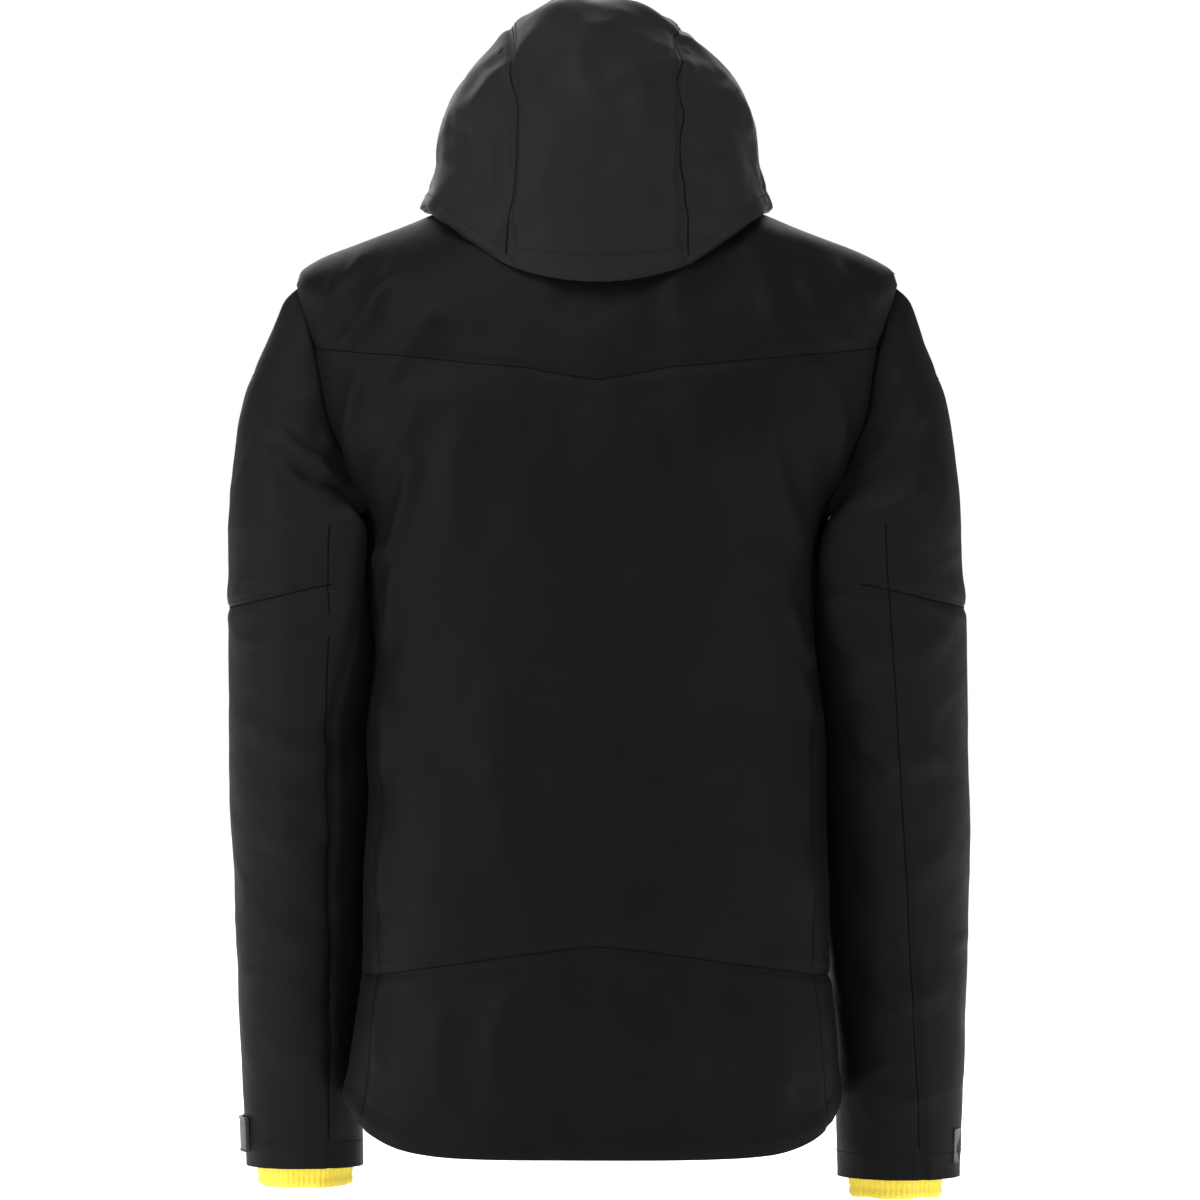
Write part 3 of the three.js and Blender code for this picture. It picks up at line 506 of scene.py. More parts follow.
# How much further in than its plain surface each side of the body hangs, (height, distance) up the side.
SIDE_LINE = {
    1: [(-0.72, 0), (-0.60, -0.006), (-0.53, -0.004), (-0.47, -0.006), (-0.42, -0.003), (-0.352, -0.009),
        (-0.30, -0.003), (-0.25, -0.001), (ARMPIT, 0)],
    -1: [(-0.72, -0.007), (-0.60, -0.008), (-0.51, -0.0045), (-0.436, -0.004), (-0.33, -0.013),
        (-0.29, -0.011),
         (ARMPIT, 0)],
}


def body_normal(level, angle):
    across = body_point(level, angle + 0.4) - body_point(level, angle - 0.4)
    up = body_point(level + 0.0012, angle) - body_point(level - 0.0012, angle)
    n = np.cross(across, up)
    return n / np.maximum(np.linalg.norm(n, axis=-1, keepdims=True), 1e-12)


def body_relief(level, angle):
    """How far the cloth stands off the body's plain surface."""
    P = body_point(level, angle)
    flat = (P - CENTRE)[..., [0, 2]]
    c = np.cos(np.radians(angle))
    behind = smooth(0.5 - 2.2 * c)
    height = behind * folds(flat, BACK_FOLDS) + (1 - behind) * folds(flat, FRONT_FOLDS)
    lower = level < ARMPIT
    edge = np.where(lower, side_seam(level), armhole(level))
    seam_reach = np.where(lower, 0.0021, 0.0018) * np.abs(np.abs(np.mod(angle, 180) - 90) - edge)
    height += crease(level - yoke_seam(angle)) * np.where(level > SHOULDER, 0, 1)
    height += crease(level - hem_seam(angle), depth=0.0017)
    height += crease(seam_reach, depth=0.0012) * (level < SHOULDER - 0.004)
    height += 0.0016 * np.exp(-(((level - hem_edge(angle) - 0.009) / 0.007) ** 2))
    away = np.minimum(np.abs(level - yoke_seam(angle)), np.abs(level - hem_seam(angle)))
    height += 0.0022 * (1 - np.exp(-((away / 0.024) ** 2)))
    s = np.sin(np.radians(angle))
    for side in (1, -1):
        height += track(level, SIDE_LINE[side]) * np.clip(side * s, 0, 1) ** 5
    height += 0.0075 * np.exp(-(((level + 0.074) / 0.034) ** 2)) * np.abs(s) ** 4
    uneven = rumple(P, 0.10, 0.0052, (1, 1, 0.7), 3.1) + creased(P, 0.085, 0.0015, (1.0, 1, 0.75), 7.7)
    height += uneven * (0.3 + 0.7 * np.abs(c))
    return height * smooth((0 - level) / 0.02)


def body_shell():
    counts = (BODY_FRONT_COLUMNS, BODY_SIDE_COLUMNS, BODY_BACK_COLUMNS, BODY_SIDE_COLUMNS, BODY_FRONT_COLUMNS)
    part = np.repeat(np.arange(5), counts)
    share = np.concatenate([np.arange(n) / n for n in counts])
    part, share = np.append(part, 4), np.append(share, 1.0)

    def angles(level):
        spread = np.where(level < ARMPIT, side_seam(level), armhole(level))
        start = zip_angle(level, ZIP_OPENING)
        marks = [start, 90 - spread, 90 + spread, 270 - spread, 270 + spread, 360 - start]
        low = np.choose(part, marks[:5])
        high = np.choose(part, marks[1:])
        return low + (high - low) * share

    def between(low, high, count):
        """Rows that run evenly from one line round the body to the next, so a seam has a row of its own."""
        for v in np.linspace(0, 1, count + 1)[1:]:
            level = np.full(part.shape, float(np.mean(high(np.array(180.0)))))
            for _ in range(4):
                angle = angles(level)
                level = low(angle) + v * (high(angle) - low(angle))
            rows.append((level, angle))

    level = np.full(part.shape, HEM)
    for _ in range(4):
        angle = angles(level)
        level = hem_edge(angle)
    rows = [(level, angle)]
    hem_rows = round(BODY_ROWS[0] * (HEM_SEAM - HEM) / (ARMPIT - HEM))
    yoke_rows = round(BODY_ROWS[1] * 0.45)
    between(hem_edge, hem_seam, hem_rows)
    between(hem_seam, lambda turn: np.full(turn.shape, ARMPIT), BODY_ROWS[0] - 1 - hem_rows)
    between(lambda turn: np.full(turn.shape, ARMPIT), yoke_seam, yoke_rows)
    between(yoke_seam, lambda turn: np.full(turn.shape, -0.0006), BODY_ROWS[1] - yoke_rows)
    level = np.array([r[0] for r in rows])
    angle = np.array([r[1] for r in rows])
    P = body_point(level, angle) + body_normal(level, angle) * body_relief(level, angle)[..., None]
    keep = np.ones((len(rows) - 1, len(part) - 1), bool)
    keep[BODY_ROWS[0] - 1 :, (part[:-1] == 1) | (part[:-1] == 3)] = False
    return cloth_piece("body_shell", P, keep=keep, centre=CENTRE + (0, 0, -0.4))


def slit(made, flip):
    """Cuts a hand pocket's opening through a front."""
    start, across, inward, up = pocket_zip_frame(flip)
    work = bmesh.new()
    bmesh.ops.create_cube(work, size=1.0)
    for vert in work.verts:
        x, y, z = vert.co
        vert.co = start + across * x * 0.011 + inward * y * 0.022 + up * (0.5 + z) * 0.160
    bmesh.ops.recalc_face_normals(work, faces=work.faces)
    mesh = bpy.data.meshes.new("slit")
    work.to_mesh(mesh)
    work.free()
    knife = new_object("slit", mesh)
    cut = made.modifiers.new("slit", "BOOLEAN")
    cut.operation = "DIFFERENCE"
    cut.object = knife
    bake(made)
    bpy.data.objects.remove(knife)


def pocket_zip_frame(flip):
    """Start, across, inward and up of a pocket zip, 1.2 mm behind the line between its slit's ends."""
    low, high = (body_point(level, 44.0) - CENTRE for level in (-0.590, -0.430))
    beside = body_point(-0.510, 45.0) - body_point(-0.510, 43.0)
    turned = np.array((flip, 1, 1))
    low, high, beside = low * turned, high * turned, beside * turned
    up = (high - low) / np.linalg.norm(high - low)
    inward = np.cross(up, beside)
    inward *= flip / np.linalg.norm(inward)
    return low + inward * 0.0012 + CENTRE, np.cross(inward, up), inward, up


body = body_shell()
slit(body, 1)
slit(body, -1)
body.data.materials.append(face_cloth)
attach(body, "torso")
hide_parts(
    "back_yoke", "back_panel", "back_hem",
    *[
        f"{name}_{side}"
        for name in ("front_yoke", "front_panel", "side_panel", "front_hem")
        for side in ("left", "right")
    ],
)

# ---- Sleeves -----------------------------------------------------------------------------------
# Two-piece sleeves of the same cloth, eased into the armhole, with a seam round the upper arm, a shoulder
# cap seam and a long seam down the back.
SLEEVE_COLUMNS = 120
SLEEVE_OUT = 0.242
CUFF = -0.768
BICEPS = -0.250
ARM_SEAM = -0.302
ELBOW_SPLIT = -0.350  # the upper piece hands over to the forearm piece here
BEHIND, AHEAD = 1, -1
# Folds as (face, (x, z) line seen square on, height, half width), x out from the body's centre line.
SLEEVE_FOLDS = {
    1: [
        (BEHIND, [(0.266, -0.156), (0.240, -0.190), (0.196, -0.218)], 0.0062, 0.0070),
        (BEHIND, [(0.262, -0.176), (0.226, -0.212), (0.192, -0.232)], -0.0060, 0.0060),
        (BEHIND, [(0.224, -0.232), (0.205, -0.250), (0.190, -0.272)], 0.0050, 0.0080),
        (BEHIND, [(0.212, -0.170), (0.225, -0.205), (0.222, -0.226)], 0.0034, 0.007),
        (BEHIND, [(0.206, -0.300), (0.232, -0.330), (0.268, -0.342)], 0.0032, 0.010),
        (BEHIND, [(0.280, -0.395), (0.250, -0.425), (0.205, -0.440)], 0.0036, 0.012),
        (BEHIND, [(0.200, -0.480), (0.235, -0.505), (0.275, -0.500)], 0.0030, 0.013),
        (BEHIND, [(0.276, -0.560), (0.246, -0.585), (0.206, -0.590)], 0.0030, 0.012),
        (BEHIND, [(0.204, -0.650), (0.240, -0.672), (0.276, -0.668)], 0.0026, 0.012),
        (AHEAD, [(0.205, -0.345), (0.242, -0.380), (0.284, -0.372)], 0.0042, 0.009),
        (AHEAD, [(0.206, -0.400), (0.242, -0.424), (0.282, -0.412)], 0.0042, 0.009),
        (AHEAD, [(0.210, -0.448), (0.246, -0.470), (0.278, -0.462)], 0.0034, 0.010),
        (AHEAD, [(0.206, -0.560), (0.246, -0.590), (0.276, -0.578)], 0.0028, 0.012),
    ],
    -1: [
        (BEHIND, [(0.202, -0.212), (0.234, -0.188), (0.262, -0.150)], 0.0052, 0.008),
        (BEHIND, [(0.206, -0.164), (0.250, -0.128)], 0.0036, 0.008),
        (BEHIND, [(0.200, -0.240), (0.236, -0.236), (0.268, -0.216)], 0.0036, 0.009),
        (BEHIND, [(0.280, -0.330), (0.250, -0.350), (0.210, -0.352)], 0.0034, 0.011),
        (BEHIND, [(0.206, -0.410), (0.240, -0.440), (0.280, -0.430)], 0.0036, 0.012),
        (BEHIND, [(0.284, -0.500), (0.250, -0.530), (0.212, -0.524)], 0.0030, 0.013),
        (BEHIND, [(0.208, -0.600), (0.246, -0.622), (0.284, -0.612)], 0.0030, 0.012),
        (BEHIND, [(0.280, -0.690), (0.250, -0.704), (0.214, -0.694)], 0.0024, 0.011),
        (AHEAD, [(0.205, -0.350), (0.242, -0.384), (0.284, -0.376)], 0.0042, 0.009),
        (AHEAD, [(0.206, -0.404), (0.242, -0.430), (0.282, -0.418)], 0.0042, 0.009),
        (AHEAD, [(0.210, -0.452), (0.246, -0.474), (0.278, -0.466)], 0.0034, 0.010),
        (AHEAD, [(0.206, -0.640), (0.246, -0.660), (0.276, -0.650)], 0.0028, 0.012),
    ],
}
# The left sleeve hangs a little shorter and closer than the right one.
CUFF_DROP = {1: -0.003, -1: -0.012}
CUFF_SHIFT = {1: -0.002, -1: 0.003}
# How much further out than its plain surface each sleeve's outer side hangs, (height, distance).
OUTER_LINE = {
    1: [(-0.76, 0), (-0.55, 0), (-0.48, 0.002), (-0.40, 0.0035), (-0.31, 0.005), (-0.25, 0.004),
        (-0.19, 0.007),
        (-0.147, 0.009), (-0.10, 0.003), (-0.07, 0)],
    -1: [(-0.76, 0.005), (-0.45, 0.006), (-0.35, 0.006), (-0.30, 0.003), (-0.25, 0.0005), (-0.20, 0.002),
         (-0.147, 0.005), (-0.10, 0)],
}


def sleeve_forward(z):
    return track(z, [(CUFF, -0.075), (-0.558, -0.045), (-0.4185, -0.0203), (BICEPS, -0.002)])


def sleeve_width(z):
    return track(z, [(CUFF, 0.048), (-0.4884, 0.053), (-0.372, 0.051), (BICEPS, 0.052)])


def sleeve_depth(z):
    return track(z, [(CUFF, 0.050), (-0.4884, 0.064), (-0.372, 0.071), (BICEPS, 0.072)])


def arm_point(turn, z, inset=0.0):
    """The sleeve's surface below the biceps; turn is 0 at its front, 90 at its outer side."""
    turn, z = np.broadcast_arrays(np.asarray(turn, float), np.asarray(z, float))
    s, c = np.sin(np.radians(turn)), np.cos(np.radians(turn))
    x = SLEEVE_OUT + track(z, [(CUFF, 0), (-0.4884, 0.002), (BICEPS, 0)]) + (sleeve_width(z) - inset) * s
    return np.stack([x, sleeve_forward(z) - (sleeve_depth(z) - inset) * c, z], -1) + CENTRE


def armhole_point(turn):
    s, c = np.sin(np.radians(turn)), np.cos(np.radians(turn))
    middle, floor = (ARMPIT + SHOULDER) / 2, 0.74
    level = np.maximum(middle + (SHOULDER - middle) * s / np.where(s < 0, floor, 1), ARMPIT)
    spread = np.where(s < -floor, np.abs(c) / math.sqrt(1 - floor**2), 1)
    return body_point(level, 90 - np.sign(c) * armhole(level) * spread)


def sleeve_head(turn, share):
    """The sleeve's surface between the armhole, share 0, and the biceps, share 1."""
    turn, share = np.broadcast_arrays(np.asarray(turn, float), np.asarray(share, float))
    s, c = np.sin(np.radians(turn)), np.cos(np.radians(turn))
    tilt = np.radians(58 + 16 * (1 - s) / 2)
    leave = np.stack([np.cos(tilt), -0.2 * c, -np.sin(tilt)], -1)
    leave /= np.linalg.norm(leave, axis=-1, keepdims=True)
    start = armhole_point(turn) + leave * 0.0015 + (0.0006, 0, 0)
    end = arm_point(turn, BICEPS)
    reach = 0.9 * np.linalg.norm(end - start, axis=-1)[..., None]
    t = share[..., None]
    P = start + (end - start) * t * t * (3 - 2 * t) + leave * reach * t * (1 - t) ** 2
    return P + np.array((0.06, 0, -1)) * -reach * t * t * (1 - t)


def cap_seam(turn):
    edge = math.sin(math.radians(15))
    return 0.4 * np.maximum(0, (np.sin(np.radians(turn)) - edge) / (1 - edge))


def back_seam_turn(z, side):
    if side > 0:
        return np.full_like(z, 208.0)
    return track(z, [(-0.764, 158), (-0.606, 170), (-0.366, 186), (-0.276, 192)])


def sleeve_relief(P, N, turn, share, side):
    """How far the sleeve's cloth stands off its plain surface. share is above 1 below the biceps."""
    flat = (P - CENTRE)[..., [0, 2]]
    z = flat[..., 1]
    height = np.zeros(turn.shape)
    for face, line, high, half in SLEEVE_FOLDS[side]:
        height += smooth(0.5 + 2.5 * face * N[..., 1]) * folds(flat, [(line, high, half)])
    bump = 0.0125 * np.sin(np.radians(turn))
    height += crease(z - (ARM_SEAM - bump)) * (share > 1)
    above_seam = z - (ARM_SEAM - bump) - 0.014
    height += 0.0010 * np.exp(-((above_seam / 0.008) ** 2)) * smooth(np.sin(np.radians(turn)))
    height += 0.4 * crease((share - cap_seam(turn)) * 0.14) * (share < 1) * (np.sin(np.radians(turn)) > 0.26)
    height += 0.0065 * np.exp(-((share / 0.30) ** 2)) * np.clip(np.sin(np.radians(turn)), 0, 1) ** 2
    along = smooth((-0.240 - z) / 0.03)
    height += along * crease(np.radians(turn - back_seam_turn(z, side)) * 0.058)
    height += along * crease(np.radians(turn - 330) * 0.058)
    uneven = rumple(P, 0.085, 0.0026, (0.8, 0.8, 1.2), 11.0 + side)
    uneven = uneven + creased(P, 0.07, 0.0013, (0.9, 0.9, 1.3), 5.0 + side)
    return height + uneven * (0.3 + 0.7 * np.abs(N[..., 1]))


def hang(P, side):
    """Shifts the lower sleeve to where this arm's cuff hangs."""
    low = smooth((-0.40 - (P - CENTRE)[..., 2]) / 0.36)
    P = P.copy()
    P[..., 2] += CUFF_DROP[side] * low
    P[..., 0] += CUFF_SHIFT[side] * low
    return P


def lean_on_body(P, turn, step, side):
    """Lets the sleeve's inner side rest on the body, and its outer side stand out where this arm's does."""
    z = (P - CENTRE)[..., 2]
    s = np.sin(np.radians(turn))
    y = (P - CENTRE)[..., 1]
    depth = np.where(y > 0, 0.126, 0.100)
    body_side = (half_width(z) + track(z, SIDE_LINE[side])) - 0.0008
    inner = SLEEVE_OUT + track(z, [(CUFF, 0), (-0.4884, 0.002), (BICEPS, 0)]) - sleeve_width(z)
    rest = np.minimum(body_side - inner, 0) * np.clip(-s * 1.3, 0, 1)
    curved = body_side + 0.001 - 0.004 * (y / depth) ** 2
    close = np.minimum(curved - (P - CENTRE)[..., 0], 0) * smooth(-s * 1.6 + 0.1)
    high = smooth((z + 0.42) / 0.16)
    rest = (rest * (1 - high) + close * high) * smooth(step)
    P = P.copy()
    P[..., 0] += rest + track(z, OUTER_LINE[side]) * np.clip(s, 0, 1) * smooth(step * 3)
    return P


def mirrored(P, side):
    return P * np.array((side, 1, 1)) if side > 0 else (P * np.array((-1, 1, 1)))[:, ::-1]


def sleeve_surface(side, steps):
    """Finished places of a sleeve for rows of steps: below 0 is tucked under the armhole, 0 to 1 runs down
    the sleeve head, and each step beyond 1 is a height below the biceps, in metres."""
    turn = np.arange(SLEEVE_COLUMNS) * 360 / SLEEVE_COLUMNS
    turn, step = np.meshgrid(turn, np.asarray(steps, float))
    head = sleeve_head(turn, np.clip(step, 0, 1))
    tube = arm_point(turn, np.where(step > 1, BICEPS - (step - 1), BICEPS))
    P = np.where((step > 1)[..., None], tube, head)
    N = grid_normals(P, closed=True)
    if np.mean(np.sum(N * (P - P.mean(1, keepdims=True)), -1)) < 0:
        N = -N
    tuck = np.clip(-step, 0, 1)[..., None]
    N = np.where(tuck > 0, N[1][None], N) if tuck.max() > 0 else N
    height = sleeve_relief(P, N, turn, step, side)[..., None] * smooth(step * 8)[..., None]
    dive = 0.0010 * np.exp(-((np.clip(step, 0, 1) * 0.14 / 0.004) ** 2))[..., None] * (step < 1)[..., None]
    P = P + N * (height - dive)
    P = P - tuck * (N * 0.0055 + np.array((0.0045, 0, 0)))
    return hang(lean_on_body(P, turn, step, side), side)


HEAD_STEPS = list(np.linspace(0, 1, 62))
UPPER_STEPS = [-1.0] + HEAD_STEPS + list(1 + np.linspace(0, BICEPS - ELBOW_SPLIT, 44)[1:])
FOREARM_STEPS = list(1 + np.linspace(BICEPS - ELBOW_SPLIT, BICEPS - CUFF, 180))


def sleeve_piece(name, side, steps):
    P = sleeve_surface(side, steps)
    made = cloth_piece(name, mirrored(P, side), closed=True, centre=None)
    made.data.materials.append(painted_light_sleeve_cloth[side])
    return made


# Painted light: each sleeve takes the body's face cloth painted lighter, the left one more than the right,
# standing in for the side light that reaches it.
painted_light_sleeve_cloth = {
    1: cloth_finish("sleeve_cloth_left", (0.0060, 0.0051, 0.0055), 0.5, sheen=0.012),
    -1: cloth_finish("sleeve_cloth_right", (0.0045, 0.0042, 0.0046), 0.5, sheen=0.010),
}
for side, label in ((1, "left"), (-1, "right")):
    upper = sleeve_piece(f"sleeve_{label}_cloth", side, UPPER_STEPS)
    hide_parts(f"shoulder_cap_{label}", f"upper_sleeve_{label}", f"lower_sleeve_{label}")
    across = np.array((0.94 * side, 0, -0.34))
    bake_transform(upper)
    fore = sleeve_piece(f"forearm_{label}_cloth", side, FOREARM_STEPS)
    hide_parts(f"forearm_{label}")
    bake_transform(fore)

# ---- Hood --------------------------------------------------------------------------------------
# A centre strip from the nape to the brow and a panel on each side, of the same cloth with more wadding.
# The lower edge is turned in and padded; it is sewn to the body along a gusset inside.
HOOD_HALF = (0.128, 0.128, 0.127)
HOOD_CENTRE = np.array((0.0, -0.020, 0.044)) + CENTRE
HOOD_BACK = -math.degrees(math.atan2(0.084, 0.108))
HOOD_FRONT = 147.0
HOOD_CORNER = 60.0
HOOD_REST = 0.007
NECK_BACK, NECK_FRONT = 32.6, 120.0
STRIP_COLUMNS = 44
BACK_ROWS, FRONT_ROWS = 84, 66
# Folds and dents on the back of the hood: ((x, z) line seen from behind, height, half width).
HOOD_FOLDS = [
    ([(0.070, 0.120), (0.092, 0.098), (0.114, 0.068)], 0.0040, 0.010),
    ([(-0.098, 0.112), (-0.112, 0.086), (-0.124, 0.060)], 0.0040, 0.008),
    ([(0.088, 0.070), (0.094, 0.040), (0.088, 0.004)], -0.0040, 0.012),
    ([(-0.035, 0.060), (-0.040, 0.028), (-0.048, 0.000)], -0.0032, 0.012),
    ([(0.104, 0.040), (0.124, 0.016), (0.134, 0.004)], 0.0034, 0.010),
    ([(-0.088, 0.050), (-0.104, 0.020), (-0.118, 0.000)], 0.0034, 0.011),
    ([(0.040, 0.120), (0.046, 0.070), (0.040, 0.010)], 0.0026, 0.015),
    ([(-0.014, 0.130), (-0.010, 0.080), (-0.016, 0.030)], -0.0020, 0.018),
    ([(0.060, -0.010), (0.100, -0.006), (0.136, 0.006)], 0.0026, 0.008),
    ([(-0.062, -0.008), (-0.104, -0.004), (-0.136, 0.008)], 0.0026, 0.008),
]


def hood_point(d):
    d = d / np.linalg.norm(d, axis=-1, keepdims=True)
    w, q, h = HOOD_HALF
    rise = np.where(d[..., 2] > 0, (d[..., 2] / h) ** 2, 0)
    P = d / np.sqrt((d[..., 0] / w) ** 2 + (d[..., 1] / q) ** 2 + rise)[..., None]
    P[..., 0] *= 1 + (0.012 / w) * np.clip(-P[..., 2] / 0.044, 0, 1)
    return P + HOOD_CENTRE


def strip_edge(angle, share=1.0):
    angle, share = np.broadcast_arrays(np.asarray(angle, float), np.asarray(share, float))
    slope = track(angle, [(HOOD_BACK, 0.46), (0, 0.62)])
    return np.stack([slope * share, np.cos(np.radians(angle)), np.sin(np.radians(angle))], -1)


def unit(d):
    return d / np.linalg.norm(d, axis=-1, keepdims=True)


def hood_hem(angle):
    angle = np.asarray(angle, float)
    low = math.tan(math.radians(HOOD_BACK)) * math.cos(math.radians(NECK_BACK))
    rest = (HOOD_REST - 0.044) / HOOD_HALF[0]
    z = track(angle, [(NECK_BACK, low), (60, rest - 0.011 / HOOD_HALF[0]), (80, rest), (NECK_FRONT, rest)])
    return unit(np.stack([np.sin(np.radians(angle)), np.cos(np.radians(angle)), z], -1))


def hood_side_direction(u, v):
    """u runs forward along the lower edge and the top seam, v up the back seam. Coons patch of directions."""
    back_seam = unit(strip_edge(HOOD_BACK + (HOOD_CORNER - HOOD_BACK) * v))
    top_seam = unit(strip_edge(HOOD_CORNER + (HOOD_FRONT - HOOD_CORNER) * u))
    start_low, start_top = unit(strip_edge(HOOD_BACK)), unit(strip_edge(HOOD_CORNER))
    end_low, end_top = hood_hem(NECK_FRONT), unit(strip_edge(HOOD_FRONT))
    low = hood_hem(NECK_BACK + (NECK_FRONT - NECK_BACK) * u)
    low = low + (start_low - hood_hem(NECK_BACK)) * ((1 - u) ** 4)[..., None]
    front = end_low + (end_top - end_low) * v[..., None]
    u, v = u[..., None], v[..., None]
    ruled = back_seam * (1 - u) + front * u + low * (1 - v) + top_seam * v
    low = start_low * (1 - u) * (1 - v) + end_low * u * (1 - v)
    return ruled - (low + start_top * (1 - u) * v + end_top * u * v)


def hood_relief(P, seam_distance, rim_distance):
    flat = (P - CENTRE)[..., [0, 2]]
    behind = smooth((P[..., 1] - HOOD_CENTRE[1]) / 0.04)
    height = behind * folds(flat, HOOD_FOLDS)
    height += crease(seam_distance, depth=0.0018, half=0.0036)
    height += 0.0030 * (1 - np.exp(-((seam_distance / 0.030) ** 2)))
    height += 0.0018 * np.exp(-(((rim_distance - 0.008) / 0.0065) ** 2))
    height -= 0.0007 * np.exp(-(((rim_distance - 0.019) / 0.0026) ** 2))
    across, up = flat[..., 0], flat[..., 1]
    height += 0.0055 * np.exp(-(((across - 0.045) / 0.05) ** 2) - ((up - 0.168) / 0.03) ** 2)
    height += 0.0030 * np.exp(-(((up - 0.175) / 0.03) ** 2))
    height += rumple(P, 0.080, 0.0050, (1, 1, 0.8), 21.0) + creased(P, 0.075, 0.0026, (1.1, 1, 0.8), 2.0)
    return height * smooth(0.25 + rim_distance / 0.006)


def hood_shell():
    up = np.linspace(0, 1, BACK_ROWS)
    ahead = np.linspace(0, 1, FRONT_ROWS)[1:]
    rising = HOOD_BACK + (HOOD_CORNER - HOOD_BACK) * up
    angles = np.concatenate([rising, HOOD_CORNER + (HOOD_FRONT - HOOD_CORNER) * ahead])
    angle, share = np.meshgrid(angles, np.linspace(-1, 1, STRIP_COLUMNS + 1), indexing="ij")
    strip = hood_point(strip_edge(angle, share))
    v, u = np.meshgrid(up, np.concatenate([[0], ahead]), indexing="ij")
    side = hood_point(hood_side_direction(u, v))
    parts = [(strip, 1), (side, 1), (side * (-1, 1, 1), -1)]
    seam_lines = hood_point(strip_edge(np.linspace(HOOD_BACK, HOOD_FRONT, 160)))
    rims = np.concatenate([
        hood_point(strip_edge(np.full(40, HOOD_BACK), np.linspace(0, 1, 40))),
        hood_point(hood_hem(np.linspace(NECK_BACK, NECK_FRONT, 90))),
        hood_point(strip_edge(np.full(30, HOOD_FRONT), np.linspace(0, 1, 30))),
        hood_point(hood_side_direction(np.ones(60), np.linspace(0, 1, 60))),
    ])

    def reach(P, line):
        folded = P * (1, 1, 1)
        folded[..., 0] = np.abs(folded[..., 0])
        flat = folded.reshape(-1, 3)
        best = np.array([np.min(np.linalg.norm(line - p, axis=1)) for p in flat])
        return best.reshape(P.shape[:-1])

    work = bmesh.new()
    cloth_uv = work.loops.layers.uv.new("cloth")
    for P, sign in parts:
        N = unit(P - HOOD_CENTRE)
        moved = P + N * hood_relief(P, reach(P, seam_lines), reach(P, rims))[..., None]
        verts = [[work.verts.new(p) for p in row] for row in moved]
        rows, columns = P.shape[:2]
        step_u = np.linalg.norm(np.diff(P, axis=1), axis=-1).mean()
        step_v = np.linalg.norm(np.diff(P, axis=0), axis=-1).mean()
        for j in range(rows - 1):
            for i in range(columns - 1):
                spots = [(i, j), (i + 1, j), (i + 1, j + 1), (i, j + 1)]
                if sign < 0:
                    spots.reverse()
                face = work.faces.new([verts[b][a] for a, b in spots])
                for loop, (a, b) in zip(face.loops, spots):
                    loop[cloth_uv].uv = (a * step_u, b * step_v)
    bmesh.ops.remove_doubles(work, verts=work.verts, dist=4e-5)
    bmesh.ops.recalc_face_normals(work, faces=work.faces)
    mesh = bpy.data.meshes.new("hood_shell")
    work.to_mesh(mesh)
    work.free()
    outward(mesh, HOOD_CENTRE)
    made = new_object("hood_shell", mesh)
    solid = made.modifiers.new("thickness", "SOLIDIFY")
    solid.thickness = CLOTH
    solid.offset = -1
    bake(made)
    for face in made.data.polygons:
        face.use_smooth = True
    made.data.set_sharp_from_angle(angle=math.radians(50))
    return made


# Painted light: the hood (and its peak) take the body's face cloth painted about three times lighter,
# standing in for the light from above that falls on the hood.
hood_cloth = cloth_finish("hood_cloth", (0.0098, 0.0094, 0.0097), 0.48, sheen=0.014)
hood = hood_shell()
hood.data.materials.append(hood_cloth)
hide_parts("hood_strip", "hood_side_left", "hood_side_right")
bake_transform(hood)

# ---- Wrist gaiters -----------------------------------------------------------------------------
# Bright stretch knit tubes sewn inside each cuff; only the lowest part shows. The ribs run
# up the arm, and the edge is turned in and drawn tighter than the cuff.
GAITER_LENGTH = 0.062
GAITER_SHOWS = 0.016
GAITER_THICK = 0.0018
GAITER_RIBS = 54
gaiter_knit = cloth_finish(
    "gaiter_knit", (0.93, 0.74, 0.085), 0.85,
    sheen=0.35, pitch=0.0016, lean=0.0, bump=0.0005, uneven=0.12, sheen_tint=0.9,
)


def gaiter_tube(side):
    columns = GAITER_RIBS * 8
    turn, v = np.meshgrid(np.arange(columns) * 360 / columns, np.linspace(0, 1, 26))
    z = CUFF - GAITER_SHOWS + GAITER_LENGTH * v
    held = arm_point(turn, np.maximum(z, CUFF), 0.0052 + 0.0062 * (1 - v) ** 1.3)
    held[..., 2] = z + CENTRE[2]
    N = grid_normals(held, closed=True)
    if np.mean(np.sum(N * (held - held.mean(1, keepdims=True)), -1)) < 0:
        N = -N
    ribs = 0.00055 * np.cos(np.radians(turn) * GAITER_RIBS) * smooth(v * 14)
    hem = 0.0009 * np.exp(-(((v - 0.04) / 0.05) ** 2)) - 0.0007 * np.exp(-(((v - 0.13) / 0.02) ** 2))
    slack = 0.0012 * np.sin(np.radians(turn) * 5 + 2.0 * side) + 0.0007 * np.sin(np.radians(turn) * 9 + 1.0)
    held = held + N * (ribs + hem + slack * (1 - v))[..., None]
    return hang(held, side)


for side, label in ((1, "left"), (-1, "right")):
    tube = mirrored(gaiter_tube(side), side)
    gaiter = cloth_piece(f"gaiter_{label}_knit", tube, thickness=GAITER_THICK, closed=True)
    gaiter.data.materials.append(gaiter_knit)
    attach(gaiter, f"forearm_{label}_body")
    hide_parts(f"wrist_gaiter_{label}")

# ---- Cuff tabs ---------------------------------------------------------------------------------
# Moulded rubber hook-and-loop tabs, sewn down at the back of the cuff and pulled round its outer side. The
# grip ribs run across the free end.
TAB_FROM, TAB_TO = 30.0, 118.0  # degrees round the cuff; the free end is at TAB_FROM
TAB_LIFT, TAB_WIDTH, TAB_THICK = 0.012, 0.028, 0.003


